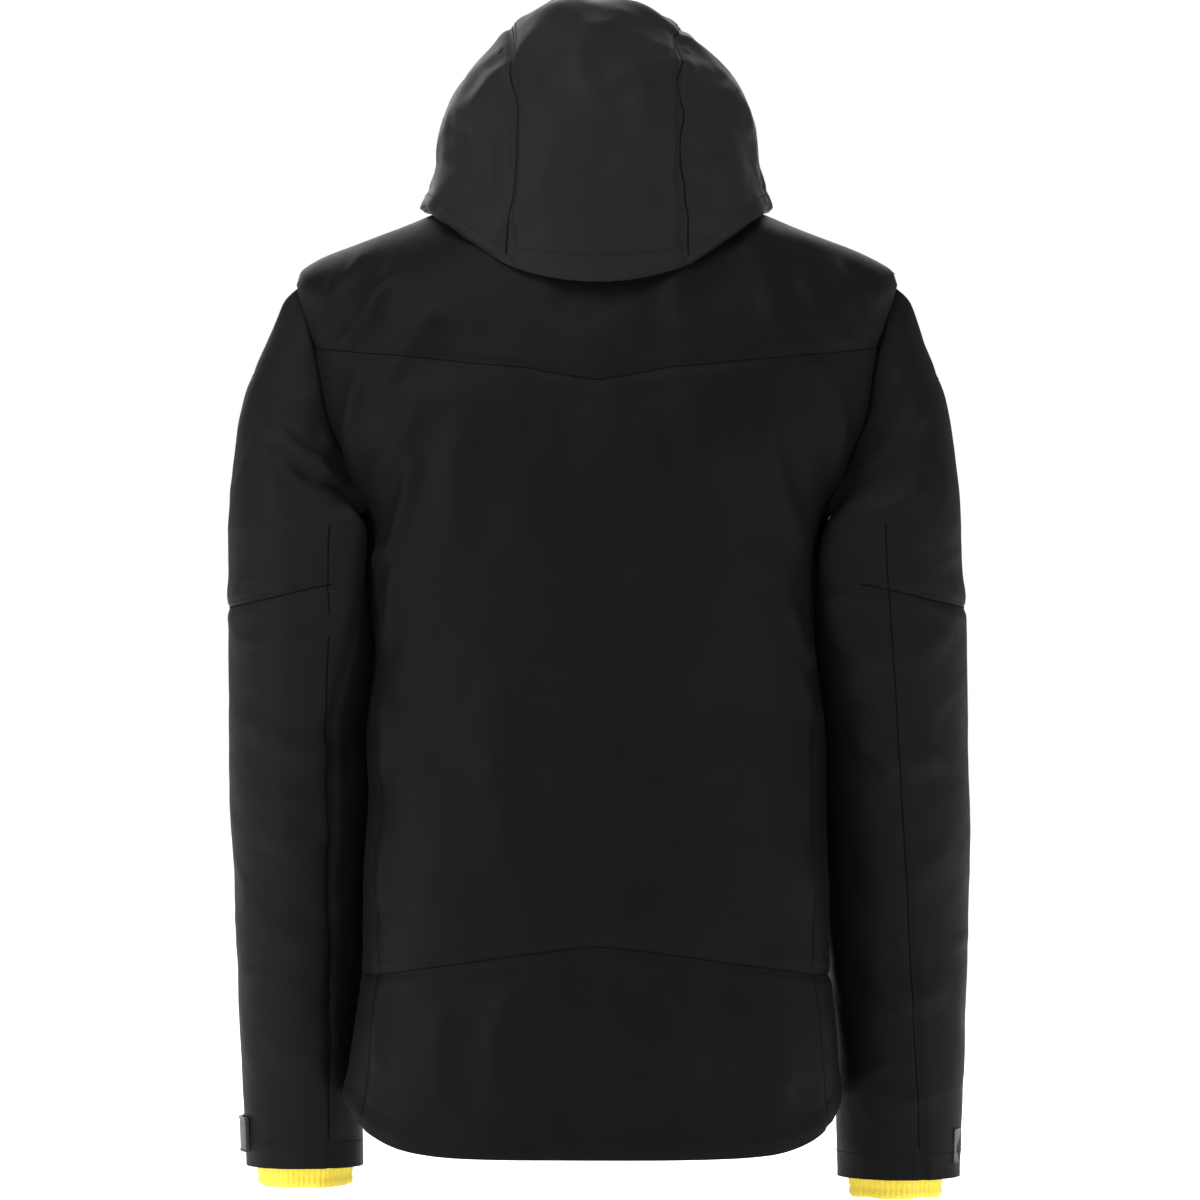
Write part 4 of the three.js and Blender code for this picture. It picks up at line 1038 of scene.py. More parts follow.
def rubber_finish(name, colour, roughness):
    material = bpy.data.materials.new(name)
    shader = principled(material)
    tree = material.node_tree
    cloud = add_node(tree, "ShaderNodeGroup", node_tree=cloud_group)
    cloud.inputs["Size"].default_value = 0.006
    cloud.inputs["Strength"].default_value = 0.3
    tint = add_node(tree, "ShaderNodeVectorMath", operation="SCALE")
    tint.inputs[0].default_value = colour
    tree.links.new(cloud.outputs["Shade"], tint.inputs["Scale"])
    tree.links.new(tint.outputs[0], shader.inputs["Base Color"])
    tree.links.new(maths(tree, "MULTIPLY", cloud.outputs["Shade"], roughness), shader.inputs["Roughness"])
    relief = add_node(tree, "ShaderNodeBump")
    relief.inputs["Strength"].default_value = 0.3
    relief.inputs["Distance"].default_value = 0.0001
    tree.links.new(cloud.outputs["Height"], relief.inputs["Height"])
    tree.links.new(relief.outputs["Normal"], shader.inputs["Normal"])
    return material


tab_rubber = rubber_finish("tab_rubber", (0.016, 0.016, 0.018), 0.48)


TAB_RIBS = 22


def tab_sheet(side):
    u, v = np.meshgrid(np.linspace(0, 1, 150), np.linspace(-1, 1, 33))
    tip = np.sqrt(np.clip(1 - np.clip((0.14 - u) / 0.14, 0, 1) ** 2, 0, 1)) * 0.75 + 0.25
    turn = TAB_FROM + (TAB_TO - TAB_FROM) * u
    z = CUFF + TAB_LIFT + TAB_WIDTH * (0.5 + 0.5 * v * tip)
    ribbed = smooth((0.44 - u) * 12) * smooth(u * 30) * smooth((0.82 - np.abs(v)) * 12)
    rib = np.clip(np.cos(u * 2 * math.pi * TAB_RIBS), 0, 1) * ribbed
    rim = smooth((np.abs(v) - 0.86) * 14)
    face = arm_point(turn, z, -TAB_THICK - 0.0012 - 0.0009 * rib - 0.0005 * rim)
    return hang(face, side)


for side, label in ((1, "left"), (-1, "right")):
    tab = cloth_piece(
        f"tab_{label}_rubber", mirrored(tab_sheet(side), side), thickness=TAB_THICK,
        centre=arm_point(0, CUFF + 0.02).ravel()[:3] * (side, 0, 1) + (0, -0.131, 0),
    )
    tab.data.materials.append(tab_rubber)
    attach(tab, f"cuff_tab_{label}_body")
    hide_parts(f"cuff_tab_{label}")

# ---- Collar and hanger loop --------------------------------------------------------------------
# A padded stand-up collar of face cloth on both sides, sewn into the neck seam, with the twill tape loop
# tacked inside it at the back.
COLLAR_HEIGHT = 0.066
ZIP_SLOPE = 0.062
NECK_FRONT_DEPTH = 0.132 - ZIP_SLOPE * (FRONT_NECK - HEM)


def collar_sheet():
    edge = float(zip_angle(np.array(-0.0001), ZIP_OPENING)) + 0.3
    angle, v = np.meshgrid(np.linspace(edge, 360 - edge, 190), np.linspace(0, 1, 30))
    P = body_point(-0.00001, angle) - CENTRE
    lean = 1 - ZIP_SLOPE * COLLAR_HEIGHT * v / NECK_FRONT_DEPTH
    P = np.stack([P[..., 0] * lean, P[..., 1] * lean, P[..., 2] + 0.0006 + COLLAR_HEIGHT * v], -1) + CENTRE
    out = unit((P - CENTRE) * (1, 1, 0))
    puff = 0.0018 * np.sin(math.pi * v) ** 0.7 - 0.0012 * np.exp(-(((v - 0.86) / 0.02) ** 2))
    return P + out * (puff + rumple(P, 0.05, 0.0014, (1, 1, 1), 31.0))[..., None]


collar = cloth_piece("collar_cloth", collar_sheet(), centre=CENTRE + (0, 0, 0.03))
collar.data.materials.append(face_cloth)
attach(collar, "torso")
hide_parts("collar")
zip_tape_cloth = cloth_finish(
    "zip_tape_cloth", (0.010, 0.010, 0.011), 0.7, sheen=0.1, pitch=0.0006, bump=0.0001
)
t, v = np.meshgrid(np.linspace(0, 1, 60), np.linspace(-1, 1, 9))
bow = np.sin(math.pi * t)
seat = 0.075 * math.sqrt(1 - (0.030 / 0.085) ** 2) - 0.0070
strap = [(t - 0.5) * 0.060, seat + (0.056 - seat) * bow, 0.008 + 0.010 * bow + 0.004 * v]
strap = np.stack(strap, -1) + CENTRE
hanger = cloth_piece("hanger_tape", strap, thickness=0.0016, centre=CENTRE + (0, 0.2, 0))
hanger.data.materials.append(zip_tape_cloth)
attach(hanger, "torso")
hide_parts("hanger_loop")

# ---- Lining, powder skirt, hood gusset and pocket bags -----------------------------------------
# Smooth taffeta, cut a little inside the shell and caught to it at the neck, zip and hem. The skirt is the
# same cloth with an elastic edge, and the gusset is the strip that joins the hood to the neck seam.
LINING_EDGE = 0.026
lining_cloth = cloth_finish(
    "lining_cloth", (0.011, 0.011, 0.013), 0.42, sheen=0.05, pitch=0.0004, bump=0.00005
)


def lining_shell():
    counts = (22, 10, 60, 10, 22)
    part = np.append(np.repeat(np.arange(5), counts), 4)
    share = np.append(np.concatenate([np.arange(n) / n for n in counts]), 1.0)

    def angles(level):
        spread = np.where(level < ARMPIT, side_seam(level), armhole(level)) + np.where(level < ARMPIT, 0, 1.4)
        start = zip_angle(level, LINING_EDGE)
        marks = [start, 90 - spread, 90 + spread, 270 - spread, 270 + spread, 360 - start]
        low = np.choose(part, marks[:5])
        return low + (np.choose(part, marks[1:]) - low) * share

    rows = []
    for v in np.linspace(0, 1, 60):
        level = np.full(part.shape, HEM + v * (ARMPIT - HEM))
        for _ in range(3):
            angle = angles(level)
            low = hem_edge(angle) + 0.012
            level = low + v * (ARMPIT - low)
        rows.append((level, angle))
    for v in np.linspace(0, 1, 31)[1:]:
        level = np.full(part.shape, ARMPIT + v * (-0.004 - ARMPIT))
        rows.append((level, angles(level)))
    level, angle = np.array([r[0] for r in rows]), np.array([r[1] for r in rows])
    inset = track(level, [(HEM + 0.05, 0.0052), (HEM + 0.09, 0.011), (-0.040, 0.0085), (-0.004, 0.0050)])
    inset = inset + 0.0012 * np.abs(rumple(body_point(level, angle), 0.05, 1.0, (1, 1, 0.5), 41.0))
    depth = 0.5 * body_relief(level, angle) - inset
    P = body_point(level, angle) + body_normal(level, angle) * depth[..., None]
    keep = np.ones((len(rows) - 1, len(part) - 1), bool)
    keep[59:, (part[:-1] == 1) | (part[:-1] == 3)] = False
    return cloth_piece("lining_shell", P, thickness=0.0008, keep=keep, centre=CENTRE + (0, 0, -0.4))


def body_strip(name, low, high, start, end, inset, thickness, rows=10, columns=120, ruffle=0.0, mirror=False):
    """A cloth lying inside the body between two levels and two angles."""
    angle, v = np.meshgrid(np.linspace(start, end, columns), np.linspace(0, 1, rows))
    level = low + (high - low) * v
    gather = ruffle * (1 - v) ** 2 * np.sin(np.radians(angle) * 74)
    P = body_point(level, angle) + body_normal(level, angle) * (gather - ruffle * (1 - v) - inset)[..., None]
    if mirror:
        P = (P * (-1, 1, 1))[:, ::-1]
    return cloth_piece(name, P, thickness=thickness, centre=CENTRE + (0, 0, -0.4))


def gusset_sheet():
    angle, v = np.meshgrid(np.linspace(120, 240, 90), np.linspace(0, 1, 14))
    sewn = body_point(-0.004, angle) + (0, 0, 0.0027)
    round_ = np.abs(180 - angle)
    hem = hood_hem(np.maximum(round_, NECK_BACK))
    sine, cosine = np.sin(np.radians(round_)) * np.sign(180 - angle), np.cos(np.radians(round_))
    scale = 1 / np.maximum(np.hypot(hem[..., 0], hem[..., 1]), 1e-6)
    held = hood_point(np.stack([sine, cosine, hem[..., 2] * scale + 0.2], -1)) - HOOD_CENTRE
    held[..., :2] *= 1 - 0.0048 / HOOD_HALF[1]
    sag = 0.003 * np.sin(math.pi * v) * np.sin(np.radians(angle) * 22)
    return sewn + (held + HOOD_CENTRE - sewn) * v[..., None] - (0, 0, 0.001) + sag[..., None] * (0, 0, 1)


skirt_angle = float(zip_angle(np.array(-0.61), 0.030))
lining = lining_shell()
skirt = body_strip(
    "powder_skirt_cloth", -0.650, -0.570, skirt_angle, 360 - skirt_angle, 0.0146, 0.0014,
    rows=24, columns=560, ruffle=0.0016,
)
gusset = cloth_piece("gusset_cloth", gusset_sheet(), thickness=0.0012, centre=CENTRE + (0, 0, -0.1))
lining_nodes = ["lining_body", "lining_back", "lining_front_left", "lining_front_right"]
lined = [
    (lining, lining_nodes, (1.05, 0.755), "hung"),
    (skirt, ["powder_skirt"], (0.93, 0.082), "gathered"),
    (gusset, ["hood_gusset"], (0.34, 0.030), "gathered"),
]
for label, flip in (("left", False), ("right", True)):
    bag = body_strip(f"pocket_bag_{label}_cloth", -0.602, -0.418, 18, 52, 0.0072, 0.0012, 20, 30, 0.0, flip)
    lined.append((bag, [f"pocket_bag_{label}"], (0.090, 0.184), "hung"))
for made, nodes, cut, held in lined:
    made.data.materials.append(lining_cloth)
    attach(made, "torso")
    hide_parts(*nodes)

# ---- Hood peak ---------------------------------------------------------------------------------
# A short brim of face cloth over a stiffener, on the front of the centre strip. It is stitched through in
# rows and rides with the hood.
PEAK_SPAN = 14.4  # degrees forward of the strip's front edge
forward, sideways = np.linspace(HOOD_FRONT + 0.3, HOOD_FRONT + PEAK_SPAN, 34), np.linspace(-0.98, 0.98, 90)
angle, share = np.meshgrid(forward, sideways, indexing="ij")
across = hood_point(strip_edge(angle, share))
run = (angle - HOOD_FRONT) / PEAK_SPAN
rows_of_stitch = np.exp(-((((run * 4) % 1) - 0.5) / 0.09) ** 2)
peak_height = 0.0012 * smooth(run * 6) - 0.0006 * rows_of_stitch * (run < 0.9)
peak_height = peak_height + 0.0012 * np.exp(-(((run - 0.97) / 0.03) ** 2))
peak_face = across + unit(across - HOOD_CENTRE) * peak_height[..., None]
peak = cloth_piece("hood_peak_cloth", peak_face, thickness=0.004, centre=HOOD_CENTRE)
peak.data.materials.append(hood_cloth)
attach(peak, "hood")
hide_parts("hood_peak")

# ---- Front zip ---------------------------------------------------------------------------------
# A moulded-tooth separating zip on woven tape, sewn behind the two front edges, with a lined storm flap
# behind it, a lacquered slider and a rubber-coated pull.
ZIP_LOW = HEM + 0.016
TOOTH_PITCH = 0.0030
TAPE_FACE, TAPE_BACK, TEETH_FACE = 0.0042, 0.0054, 0.0030
PULL_LENGTH, PULL_WIDTH, PULL_THICK = 0.034, 0.008, 0.002
SLIDER_LENGTH, SLIDER_HALF = 0.012, 0.0044


def main_zip_frame():
    lean = math.atan(ZIP_SLOPE)
    start = np.array((0, -(0.132 - ZIP_SLOPE * (ZIP_LOW - HEM)), ZIP_LOW)) + CENTRE
    inward = np.array((0, math.cos(lean), -math.sin(lean)))
    up = np.array((0, math.sin(lean), math.cos(lean)))
    return start, np.cross(inward, up), inward, up


def placed(points, zip_frame):
    """Places (across, inward, up) in a zip's own frame as places in the model."""
    start, across, inward, up = zip_frame
    points = np.asarray(points, float)
    return start + points[..., :1] * across + points[..., 1:2] * inward + points[..., 2:] * up


def zip_sheet(name, zip_frame, x0, x1, face, low, high, thickness, columns=10, swell=0.0):
    x, z = np.meshgrid(np.linspace(x0, x1, columns), np.linspace(low, high, 120))
    y = face - swell * np.sin(math.pi * (x - x0) / (x1 - x0)) + 0.0001 * np.sin(z * 400)
    P = placed(np.stack([x, y, z], -1), zip_frame)
    behind = placed([(x0 + x1) / 2, 1.0, (low + high) / 2], zip_frame)
    return cloth_piece(name, P, thickness=thickness, centre=behind)


def tooth_block():
    """One tooth: a rounded head with a waist, across the zip's centre line, half its foot on the tape."""
    outline = [
        (-0.0030, -0.00062), (-0.0012, -0.00062), (-0.0006, -0.00040), (0.0004, -0.00040), (0.0009, -0.00072),
        (0.0016, -0.00060), (0.0019, 0.0), (0.0016, 0.00060), (0.0009, 0.00072), (0.0004, 0.00040),
        (-0.0006, 0.00040), (-0.0012, 0.00062), (-0.0030, 0.00062),
    ]
    work = bmesh.new()
    low = [work.verts.new((x, -0.0011, z)) for x, z in outline]
    face = work.faces.new(low)
    grown = bmesh.ops.extrude_face_region(work, geom=[face])
    far = [v for v in grown["geom"] if isinstance(v, bmesh.types.BMVert)]
    bmesh.ops.translate(work, vec=(0, 0.0022, 0), verts=far)
    bmesh.ops.recalc_face_normals(work, faces=work.faces)
    bmesh.ops.bevel(work, geom=work.edges, offset=0.00016, segments=1, affect="EDGES")
    mesh = bpy.data.meshes.new("tooth")
    work.to_mesh(mesh)
    work.free()
    return new_object("tooth", mesh)


def repeat_along():
    """Geometry nodes: copies of one object on every point of a mesh, each turned by an attribute."""
    tree = bpy.data.node_groups.new("repeat_along", "GeometryNodeTree")
    tree.interface.new_socket("Geometry", in_out="INPUT", socket_type="NodeSocketGeometry")
    tree.interface.new_socket("Copied", in_out="INPUT", socket_type="NodeSocketObject")
    tree.interface.new_socket("Finish", in_out="INPUT", socket_type="NodeSocketMaterial")
    tree.interface.new_socket("Geometry", in_out="OUTPUT", socket_type="NodeSocketGeometry")
    given, result = tree.nodes.new("NodeGroupInput"), tree.nodes.new("NodeGroupOutput")
    points = tree.nodes.new("GeometryNodeMeshToPoints")
    info = tree.nodes.new("GeometryNodeObjectInfo")
    copies = tree.nodes.new("GeometryNodeInstanceOnPoints")
    turned = tree.nodes.new("GeometryNodeInputNamedAttribute")
    turned.data_type = "QUATERNION"
    turned.inputs["Name"].default_value = "turned"
    real = tree.nodes.new("GeometryNodeRealizeInstances")
    finish = tree.nodes.new("GeometryNodeSetMaterial")
    tree.links.new(given.outputs["Geometry"], points.inputs["Mesh"])
    tree.links.new(points.outputs["Points"], copies.inputs["Points"])
    tree.links.new(given.outputs["Copied"], info.inputs["Object"])
    tree.links.new(info.outputs["Geometry"], copies.inputs["Instance"])
    tree.links.new(turned.outputs["Attribute"], copies.inputs["Rotation"])
    tree.links.new(copies.outputs["Instances"], real.inputs["Geometry"])
    tree.links.new(real.outputs["Geometry"], finish.inputs["Geometry"])
    tree.links.new(given.outputs["Finish"], finish.inputs["Material"])
    tree.links.new(finish.outputs["Geometry"], result.inputs["Geometry"])
    return tree


repeat_group = repeat_along()


def repeated(name, copied, places, turns, material):
    """A mesh of copies of one object: places is a list of points, turns the rotation (w, x, y, z) of each."""
    mesh = bpy.data.meshes.new(name)
    mesh.from_pydata([tuple(p) for p in places], [], [])
    layer = mesh.attributes.new("turned", "QUATERNION", "POINT")
    layer.data.foreach_set("value", np.asarray(turns, float).ravel())
    made = new_object(name, mesh)
    nodes = made.modifiers.new("repeat", "NODES")
    nodes.node_group = repeat_group
    inputs = {s.name: s.identifier for s in repeat_group.interface.items_tree if s.in_out == "INPUT"}
    nodes[inputs["Copied"]] = copied
    nodes[inputs["Finish"]] = material
    return bake(made)


def turn_of(x_axis, y_axis, z_axis):
    return tuple(Matrix(np.stack([x_axis, y_axis, z_axis], 1).tolist()).to_quaternion())


def zip_teeth(name, zip_frame, low, high, material):
    tooth = tooth_block()
    _, across, inward, up = zip_frame
    places, turns = [], []
    for n in range(int((high - low) / TOOTH_PITCH) * 2):
        way = 1 if n % 2 else -1
        spot = [-0.0001 * way, (TEETH_FACE + TAPE_BACK) / 2, low + 0.001 + n * TOOTH_PITCH / 2]
        places.append(placed(spot, zip_frame))
        turns.append(turn_of(across * way, inward, up * way) if way > 0 else turn_of(-across, inward, -up))
    made = repeated(name, tooth, places, turns, material)
    bpy.data.objects.remove(tooth)
    return made


def moulded(name, outline, low, high, zip_frame, bevel, round_steps=2):
    """A solid with the given (across, up) outline, between two depths in the zip's frame, edges rounded."""
    work = bmesh.new()
    face = work.faces.new([work.verts.new((x, low, z)) for x, z in outline])
    grown = bmesh.ops.extrude_face_region(work, geom=[face])
    far = [v for v in grown["geom"] if isinstance(v, bmesh.types.BMVert)]
    bmesh.ops.translate(work, vec=(0, high - low, 0), verts=far)
    bmesh.ops.recalc_face_normals(work, faces=work.faces)
    bmesh.ops.bevel(
        work, geom=work.edges, offset=bevel, segments=round_steps, affect="EDGES", clamp_overlap=True
    )
    for vert in work.verts:
        vert.co = placed(np.array(vert.co), zip_frame)
    bmesh.ops.recalc_face_normals(work, faces=work.faces)
    mesh = bpy.data.meshes.new(name)
    work.to_mesh(mesh)
    work.free()
    for polygon in mesh.polygons:
        polygon.use_smooth = True
    mesh.set_sharp_from_angle(angle=math.radians(40))
    return new_object(name, mesh)


def joined(name, parts):
    """One object from several, each part keeping its own material."""
    work = bmesh.new()
    materials = []
    for made in parts:
        first = len(materials)
        materials += list(made.data.materials)
        before = len(work.faces)
        work.from_mesh(made.data)
        work.faces.ensure_lookup_table()
        for polygon in work.faces[before:]:
            polygon.material_index += first
    mesh = bpy.data.meshes.new(name)
    work.to_mesh(mesh)
    work.free()
    for material in materials:
        mesh.materials.append(material)
    for made in parts:
        bpy.data.objects.remove(made)
    return new_object(name, mesh)


def rounded_outline(half, low, high, neck=None):
    """A tall rounded outline, optionally drawn in to a narrower neck at its top."""
    turn = np.linspace(0, math.pi, 9)
    foot = [(-half * math.cos(a), low + half * 0.6 * (1 - math.sin(a))) for a in turn]
    top_half = neck or half
    head = [(top_half * math.cos(a), high - top_half * 0.5 * (1 - math.sin(a))) for a in turn]
    return foot + head


zip_lacquer = bpy.data.materials.new("zip_lacquer")
lacquer = principled(zip_lacquer)
wear = add_node(zip_lacquer.node_tree, "ShaderNodeGroup", node_tree=cloud_group)
wear.inputs["Size"].default_value = 0.003
wear.inputs["Strength"].default_value = 0.7
links = zip_lacquer.node_tree
links.links.new(maths(links, "MULTIPLY", wear.outputs["Shade"], 0.34), lacquer.inputs["Roughness"])
scuffed = add_node(links, "ShaderNodeVectorMath", operation="SCALE")
scuffed.inputs[0].default_value = (0.022, 0.022, 0.024)
links.links.new(wear.outputs["Shade"], scuffed.inputs["Scale"])
links.links.new(scuffed.outputs[0], lacquer.inputs["Base Color"])
lacquer.inputs["Metallic"].default_value = 0.85
lacquer.inputs["Coat Weight"].default_value = 0.5
tooth_plastic = rubber_finish("tooth_plastic", (0.014, 0.014, 0.015), 0.36)
pull_rubber = rubber_finish("pull_rubber", (0.014, 0.014, 0.016), 0.5)


def slider_piece(name, zip_frame, top, plate):
    """Plate, bridge and the two lips that reach past the teeth."""
    face = TEETH_FACE - 0.0005 - plate
    shoulders = [(-0.0030, top - SLIDER_LENGTH), (0.0030, top - SLIDER_LENGTH), (SLIDER_HALF, top - 0.006),
                 (SLIDER_HALF, top - 0.001), (0.0034, top), (-0.0034, top), (-SLIDER_HALF, top - 0.001),
                 (-SLIDER_HALF, top - 0.006)]
    parts = [moulded("plate", shoulders, face + 0.0006, face + plate, zip_frame, 0.0004)]
    crown = rounded_outline(0.0019, top - 0.0105, top - 0.001)
    parts.append(moulded("crown", crown, face, face + 0.0009, zip_frame, 0.0003))
    for way in (-1, 1):
        x0, x1 = sorted((way * SLIDER_HALF, way * (SLIDER_HALF - 0.001)))
        lip = [(x0, top - 0.0075), (x1, top - 0.0075), (x1, top - 0.001), (x0, top - 0.001)]
        parts.append(moulded("lip", lip, face + plate - 0.0005, TAPE_FACE - 0.0005, zip_frame, 0.0002, 1))
    for part in parts:
        part.data.materials.append(zip_lacquer)
    return joined(name, parts)


def pull_piece(name, zip_frame, top, plate):
    """A flat coated pull with a waist, and raised grip ribs on its lower half."""
    face = TEETH_FACE - 0.0005 - plate - 0.0005 - PULL_THICK
    half = PULL_WIDTH / 2
    high, low = top - 0.002, top - 0.002 - PULL_LENGTH
    grip = rounded_outline(half, low, high - 0.010)
    body_low = moulded("grip", grip, face + 0.0002, face + 0.0016, zip_frame, 0.0004)
    neck = [(-0.0022, high - 0.013), (0.0022, high - 0.013), (0.0026, high - 0.003), (0.0016, high)]
    neck += [(-0.0016, high), (-0.0026, high - 0.003)]
    parts = [body_low, moulded("neck", neck, face + 0.0006, face + PULL_THICK, zip_frame, 0.0004)]
    for n in range(6):
        z = low + 0.0045 + n * 0.0026
        side, high_edge = half - 0.0012, z + 0.0011
        rib = [(-side, z), (side, z), (side, high_edge), (-side, high_edge)]
        parts.append(moulded("rib", rib, face, face + 0.0006, zip_frame, 0.0002, 1))
    for part in parts:
        part.data.materials.append(pull_rubber)
    return joined(name, parts)


main_zip = main_zip_frame()
zip_top = 0.019
MAIN_LENGTH = (zip_top - ZIP_LOW) * math.hypot(1, ZIP_SLOPE)
for label, x0, x1 in (("left", 0.0022, 0.013), ("right", -0.013, -0.0022)):
    tape = zip_sheet(
        f"front_tape_{label}", main_zip, x0, x1, TAPE_FACE, 0, MAIN_LENGTH, TAPE_BACK - TAPE_FACE
    )
    tape.data.materials.append(zip_tape_cloth)
    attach(tape, "torso")
    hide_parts(f"zip_tape_{label}")
teeth = zip_teeth("front_teeth", main_zip, 0, MAIN_LENGTH - 0.001, tooth_plastic)
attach(teeth, "torso")
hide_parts("zip_teeth")
flap = zip_sheet(
    "storm_flap_cloth", main_zip, -0.020, 0.020, TAPE_BACK + 0.0009, 0, MAIN_LENGTH, 0.0014, 24, 0.0002
)
flap.data.materials.append(lining_cloth)
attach(flap, "torso")
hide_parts("storm_flap")
main_slider = slider_piece("front_slider", main_zip, MAIN_LENGTH - 0.002, 0.002)
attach(main_slider, "main_zip_slider")
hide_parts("main_slider")
main_pull = pull_piece("front_pull", main_zip, MAIN_LENGTH - 0.002, 0.002)
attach(main_pull, "main_zip_pull")
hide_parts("main_pull")

# ---- Hand pocket zips --------------------------------------------------------------------------
# The same zip in a shorter length, its tape sewn behind a slanting slit in each front. Its slider is thicker,
# so that the pull rides clear of the lips of the slit.
POCKET_LENGTH = 0.160
for label, flip in (("left", 1), ("right", -1)):
    pocket_zip = pocket_zip_frame(flip)
    parts = []
    for x0, x1 in ((0.0022, 0.0105), (-0.0105, -0.0022)):
        strip = zip_sheet(
            "strip", pocket_zip, x0, x1, TAPE_FACE, -0.006, POCKET_LENGTH + 0.006, TAPE_BACK - TAPE_FACE
        )
        strip.data.materials.append(zip_tape_cloth)
        parts.append(strip)
    parts.append(zip_teeth("row", pocket_zip, -0.004, POCKET_LENGTH + 0.004, tooth_plastic))
    made = joined(f"pocket_zip_{label}_tape", parts)
    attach(made, "torso")
    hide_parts(f"pocket_zip_{label}")
    made = slider_piece(f"pocket_{label}_runner", pocket_zip, POCKET_LENGTH - 0.002, 0.0044)
    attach(made, f"pocket_zip_slider_{label}")
    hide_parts(f"pocket_{label}_slider")
    made = pull_piece(f"pocket_{label}_grip", pocket_zip, POCKET_LENGTH - 0.002, 0.0051)
    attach(made, f"pocket_zip_pull_{label}")
    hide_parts(f"pocket_{label}_pull")

# ---- Stitching ---------------------------------------------------------------------------------
# Lockstitch in matt black thread: two rows over the hem seam, one beside each other seam and round each
# edge. Each stitch is a short strand laid on the finished cloth, sunk a little where it goes in.
STITCH_PITCH = 0.0034
TACK_PITCH = 0.0007
STITCH_LENGTH = 0.0025
THREAD_HALF = 0.00026
thread = cloth_finish("black_thread", (0.0085, 0.0085, 0.009), 0.5, sheen=0.01, pitch=0.0005, bump=0.00005)


def strand():
    """A strand along x, arched so that its ends dip into the cloth."""
    work = bmesh.new()
    rings = []
    for x in np.linspace(-1, 1, 7):
        radius = THREAD_HALF * math.sqrt(max(1 - x**4, 0.05))
        lift = THREAD_HALF * (0.9 - 1.5 * x * x)
        ring = []
        for a in np.linspace(0, 2 * math.pi, 7)[:-1]:
            place = (x * STITCH_LENGTH / 2, radius * 1.3 * math.cos(a), lift + radius * math.sin(a))
            ring.append(work.verts.new(place))
        rings.append(ring)
    for one, two in zip(rings[:-1], rings[1:]):
        for k in range(6):
            work.faces.new((one[k], one[(k + 1) % 6], two[(k + 1) % 6], two[k]))
    work.faces.new(rings[0])
    work.faces.new(rings[-1])
    bmesh.ops.recalc_face_normals(work, faces=work.faces)
    mesh = bpy.data.meshes.new("strand")
    work.to_mesh(mesh)
    work.free()
    for polygon in mesh.polygons:
        polygon.use_smooth = True
    return new_object("strand", mesh)


def evenly(line, pitch):
    line = np.asarray(line, float)
    run = np.concatenate([[0], np.cumsum(np.linalg.norm(np.diff(line[:, :3], axis=0), axis=1))])
    spots = np.arange(pitch / 2, run[-1], pitch)
    return np.stack([np.interp(spots, run, line[:, k]) for k in range(line.shape[1])], 1)


def laid_on(tree, spots):
    """Where each spot drops onto the cloth, straight in past the lips of a seam, and the normal there."""
    if spots.shape[1] == 6:
        toward = spots[:, 3:] - spots[:, :3]
    else:
        toward = np.array([tree.find_nearest(Vector(p))[0] for p in spots]) - spots
        toward = np.pad(toward, ((8, 8), (0, 0)), mode="edge")
        toward = np.stack([np.convolve(toward[:, k], np.ones(17) / 17, "valid") for k in range(3)], 1)
    laid = []
    for spot, way in zip(spots, toward):
        hit = tree.ray_cast(Vector(spot[:3]), Vector(way).normalized(), 0.03)
        laid.append(hit if hit[0] is not None else tree.find_nearest(Vector(spot[:3])))
    return laid


def stitched(name, made, lines, crosswise=()):
    """Rows of stitches laid on a finished piece. lines lie a little outside its outer face."""
    from_mesh = bmesh.new()
    from_mesh.from_mesh(made.data)
    tree = BVHTree.FromBMesh(from_mesh)
    from_mesh.free()
    places, turns = [], []
    rows_to_lay = [(line, STITCH_PITCH, False) for line in lines]
    rows_to_lay += [(line, TACK_PITCH, True) for line in crosswise]
    for line, pitch, across in rows_to_lay:
        spots = evenly(line, pitch)
        laid = laid_on(tree, spots)
        for k in range(len(spots) - 1):
            here, normal = laid[k][0], laid[k][1]
            along = (laid[k + 1][0] - here).normalized()
            along = along.cross(normal) if across else along
            side = normal.cross(along).normalized()
            along = side.cross(normal)
            places.append(here + normal * 0.00005)
            turns.append(turn_of(along, side, normal))
    piece = strand()
    rows = repeated(name, piece, places, turns, thread)
    bpy.data.objects.remove(piece)
    return rows


# A near-black finish for the painted shade laid along the seams.
seam_shadow = cloth_finish("seam_shadow", (0.0012, 0.0012, 0.0012), 0.9, sheen=0.0)


def ditch(made, lines, width=0.0010):
    """Painted shade along each seam, where two turned-in edges meet: a near-black ribbon laid on the cloth.
    """
    from_mesh = bmesh.new()
    from_mesh.from_mesh(made.data)
    tree = BVHTree.FromBMesh(from_mesh)
    from_mesh.free()
    work = bmesh.new()
    for line in lines:
        laid = laid_on(tree, evenly(line, 0.0022))
        edges = []
        for k, (here, normal, _, _) in enumerate(laid):
            along = laid[min(k + 1, len(laid) - 1)][0] - laid[max(k - 1, 0)][0]
            side = normal.cross(along).normalized() * width / 2
            raised = here + normal * 0.00025
            edges.append((work.verts.new(raised - side), work.verts.new(raised + side)))
        for (a, b), (c, d) in zip(edges[:-1], edges[1:]):
            work.faces.new((a, c, d, b))
    mesh = bpy.data.meshes.new("ditch")
    work.to_mesh(mesh)
    work.free()
    mesh.materials.append(seam_shadow)
    return new_object("ditch", mesh)


def on_body(level, angle, stand=0.016):
    """A line outside the body and the same line inside it: each spot drops from one to the other."""
    level, angle = np.broadcast_arrays(np.asarray(level, float), np.asarray(angle, float))
    plain, normal = body_point(level, angle), body_normal(level, angle)
    return np.concatenate([plain + normal * stand, plain - normal * stand], -1)


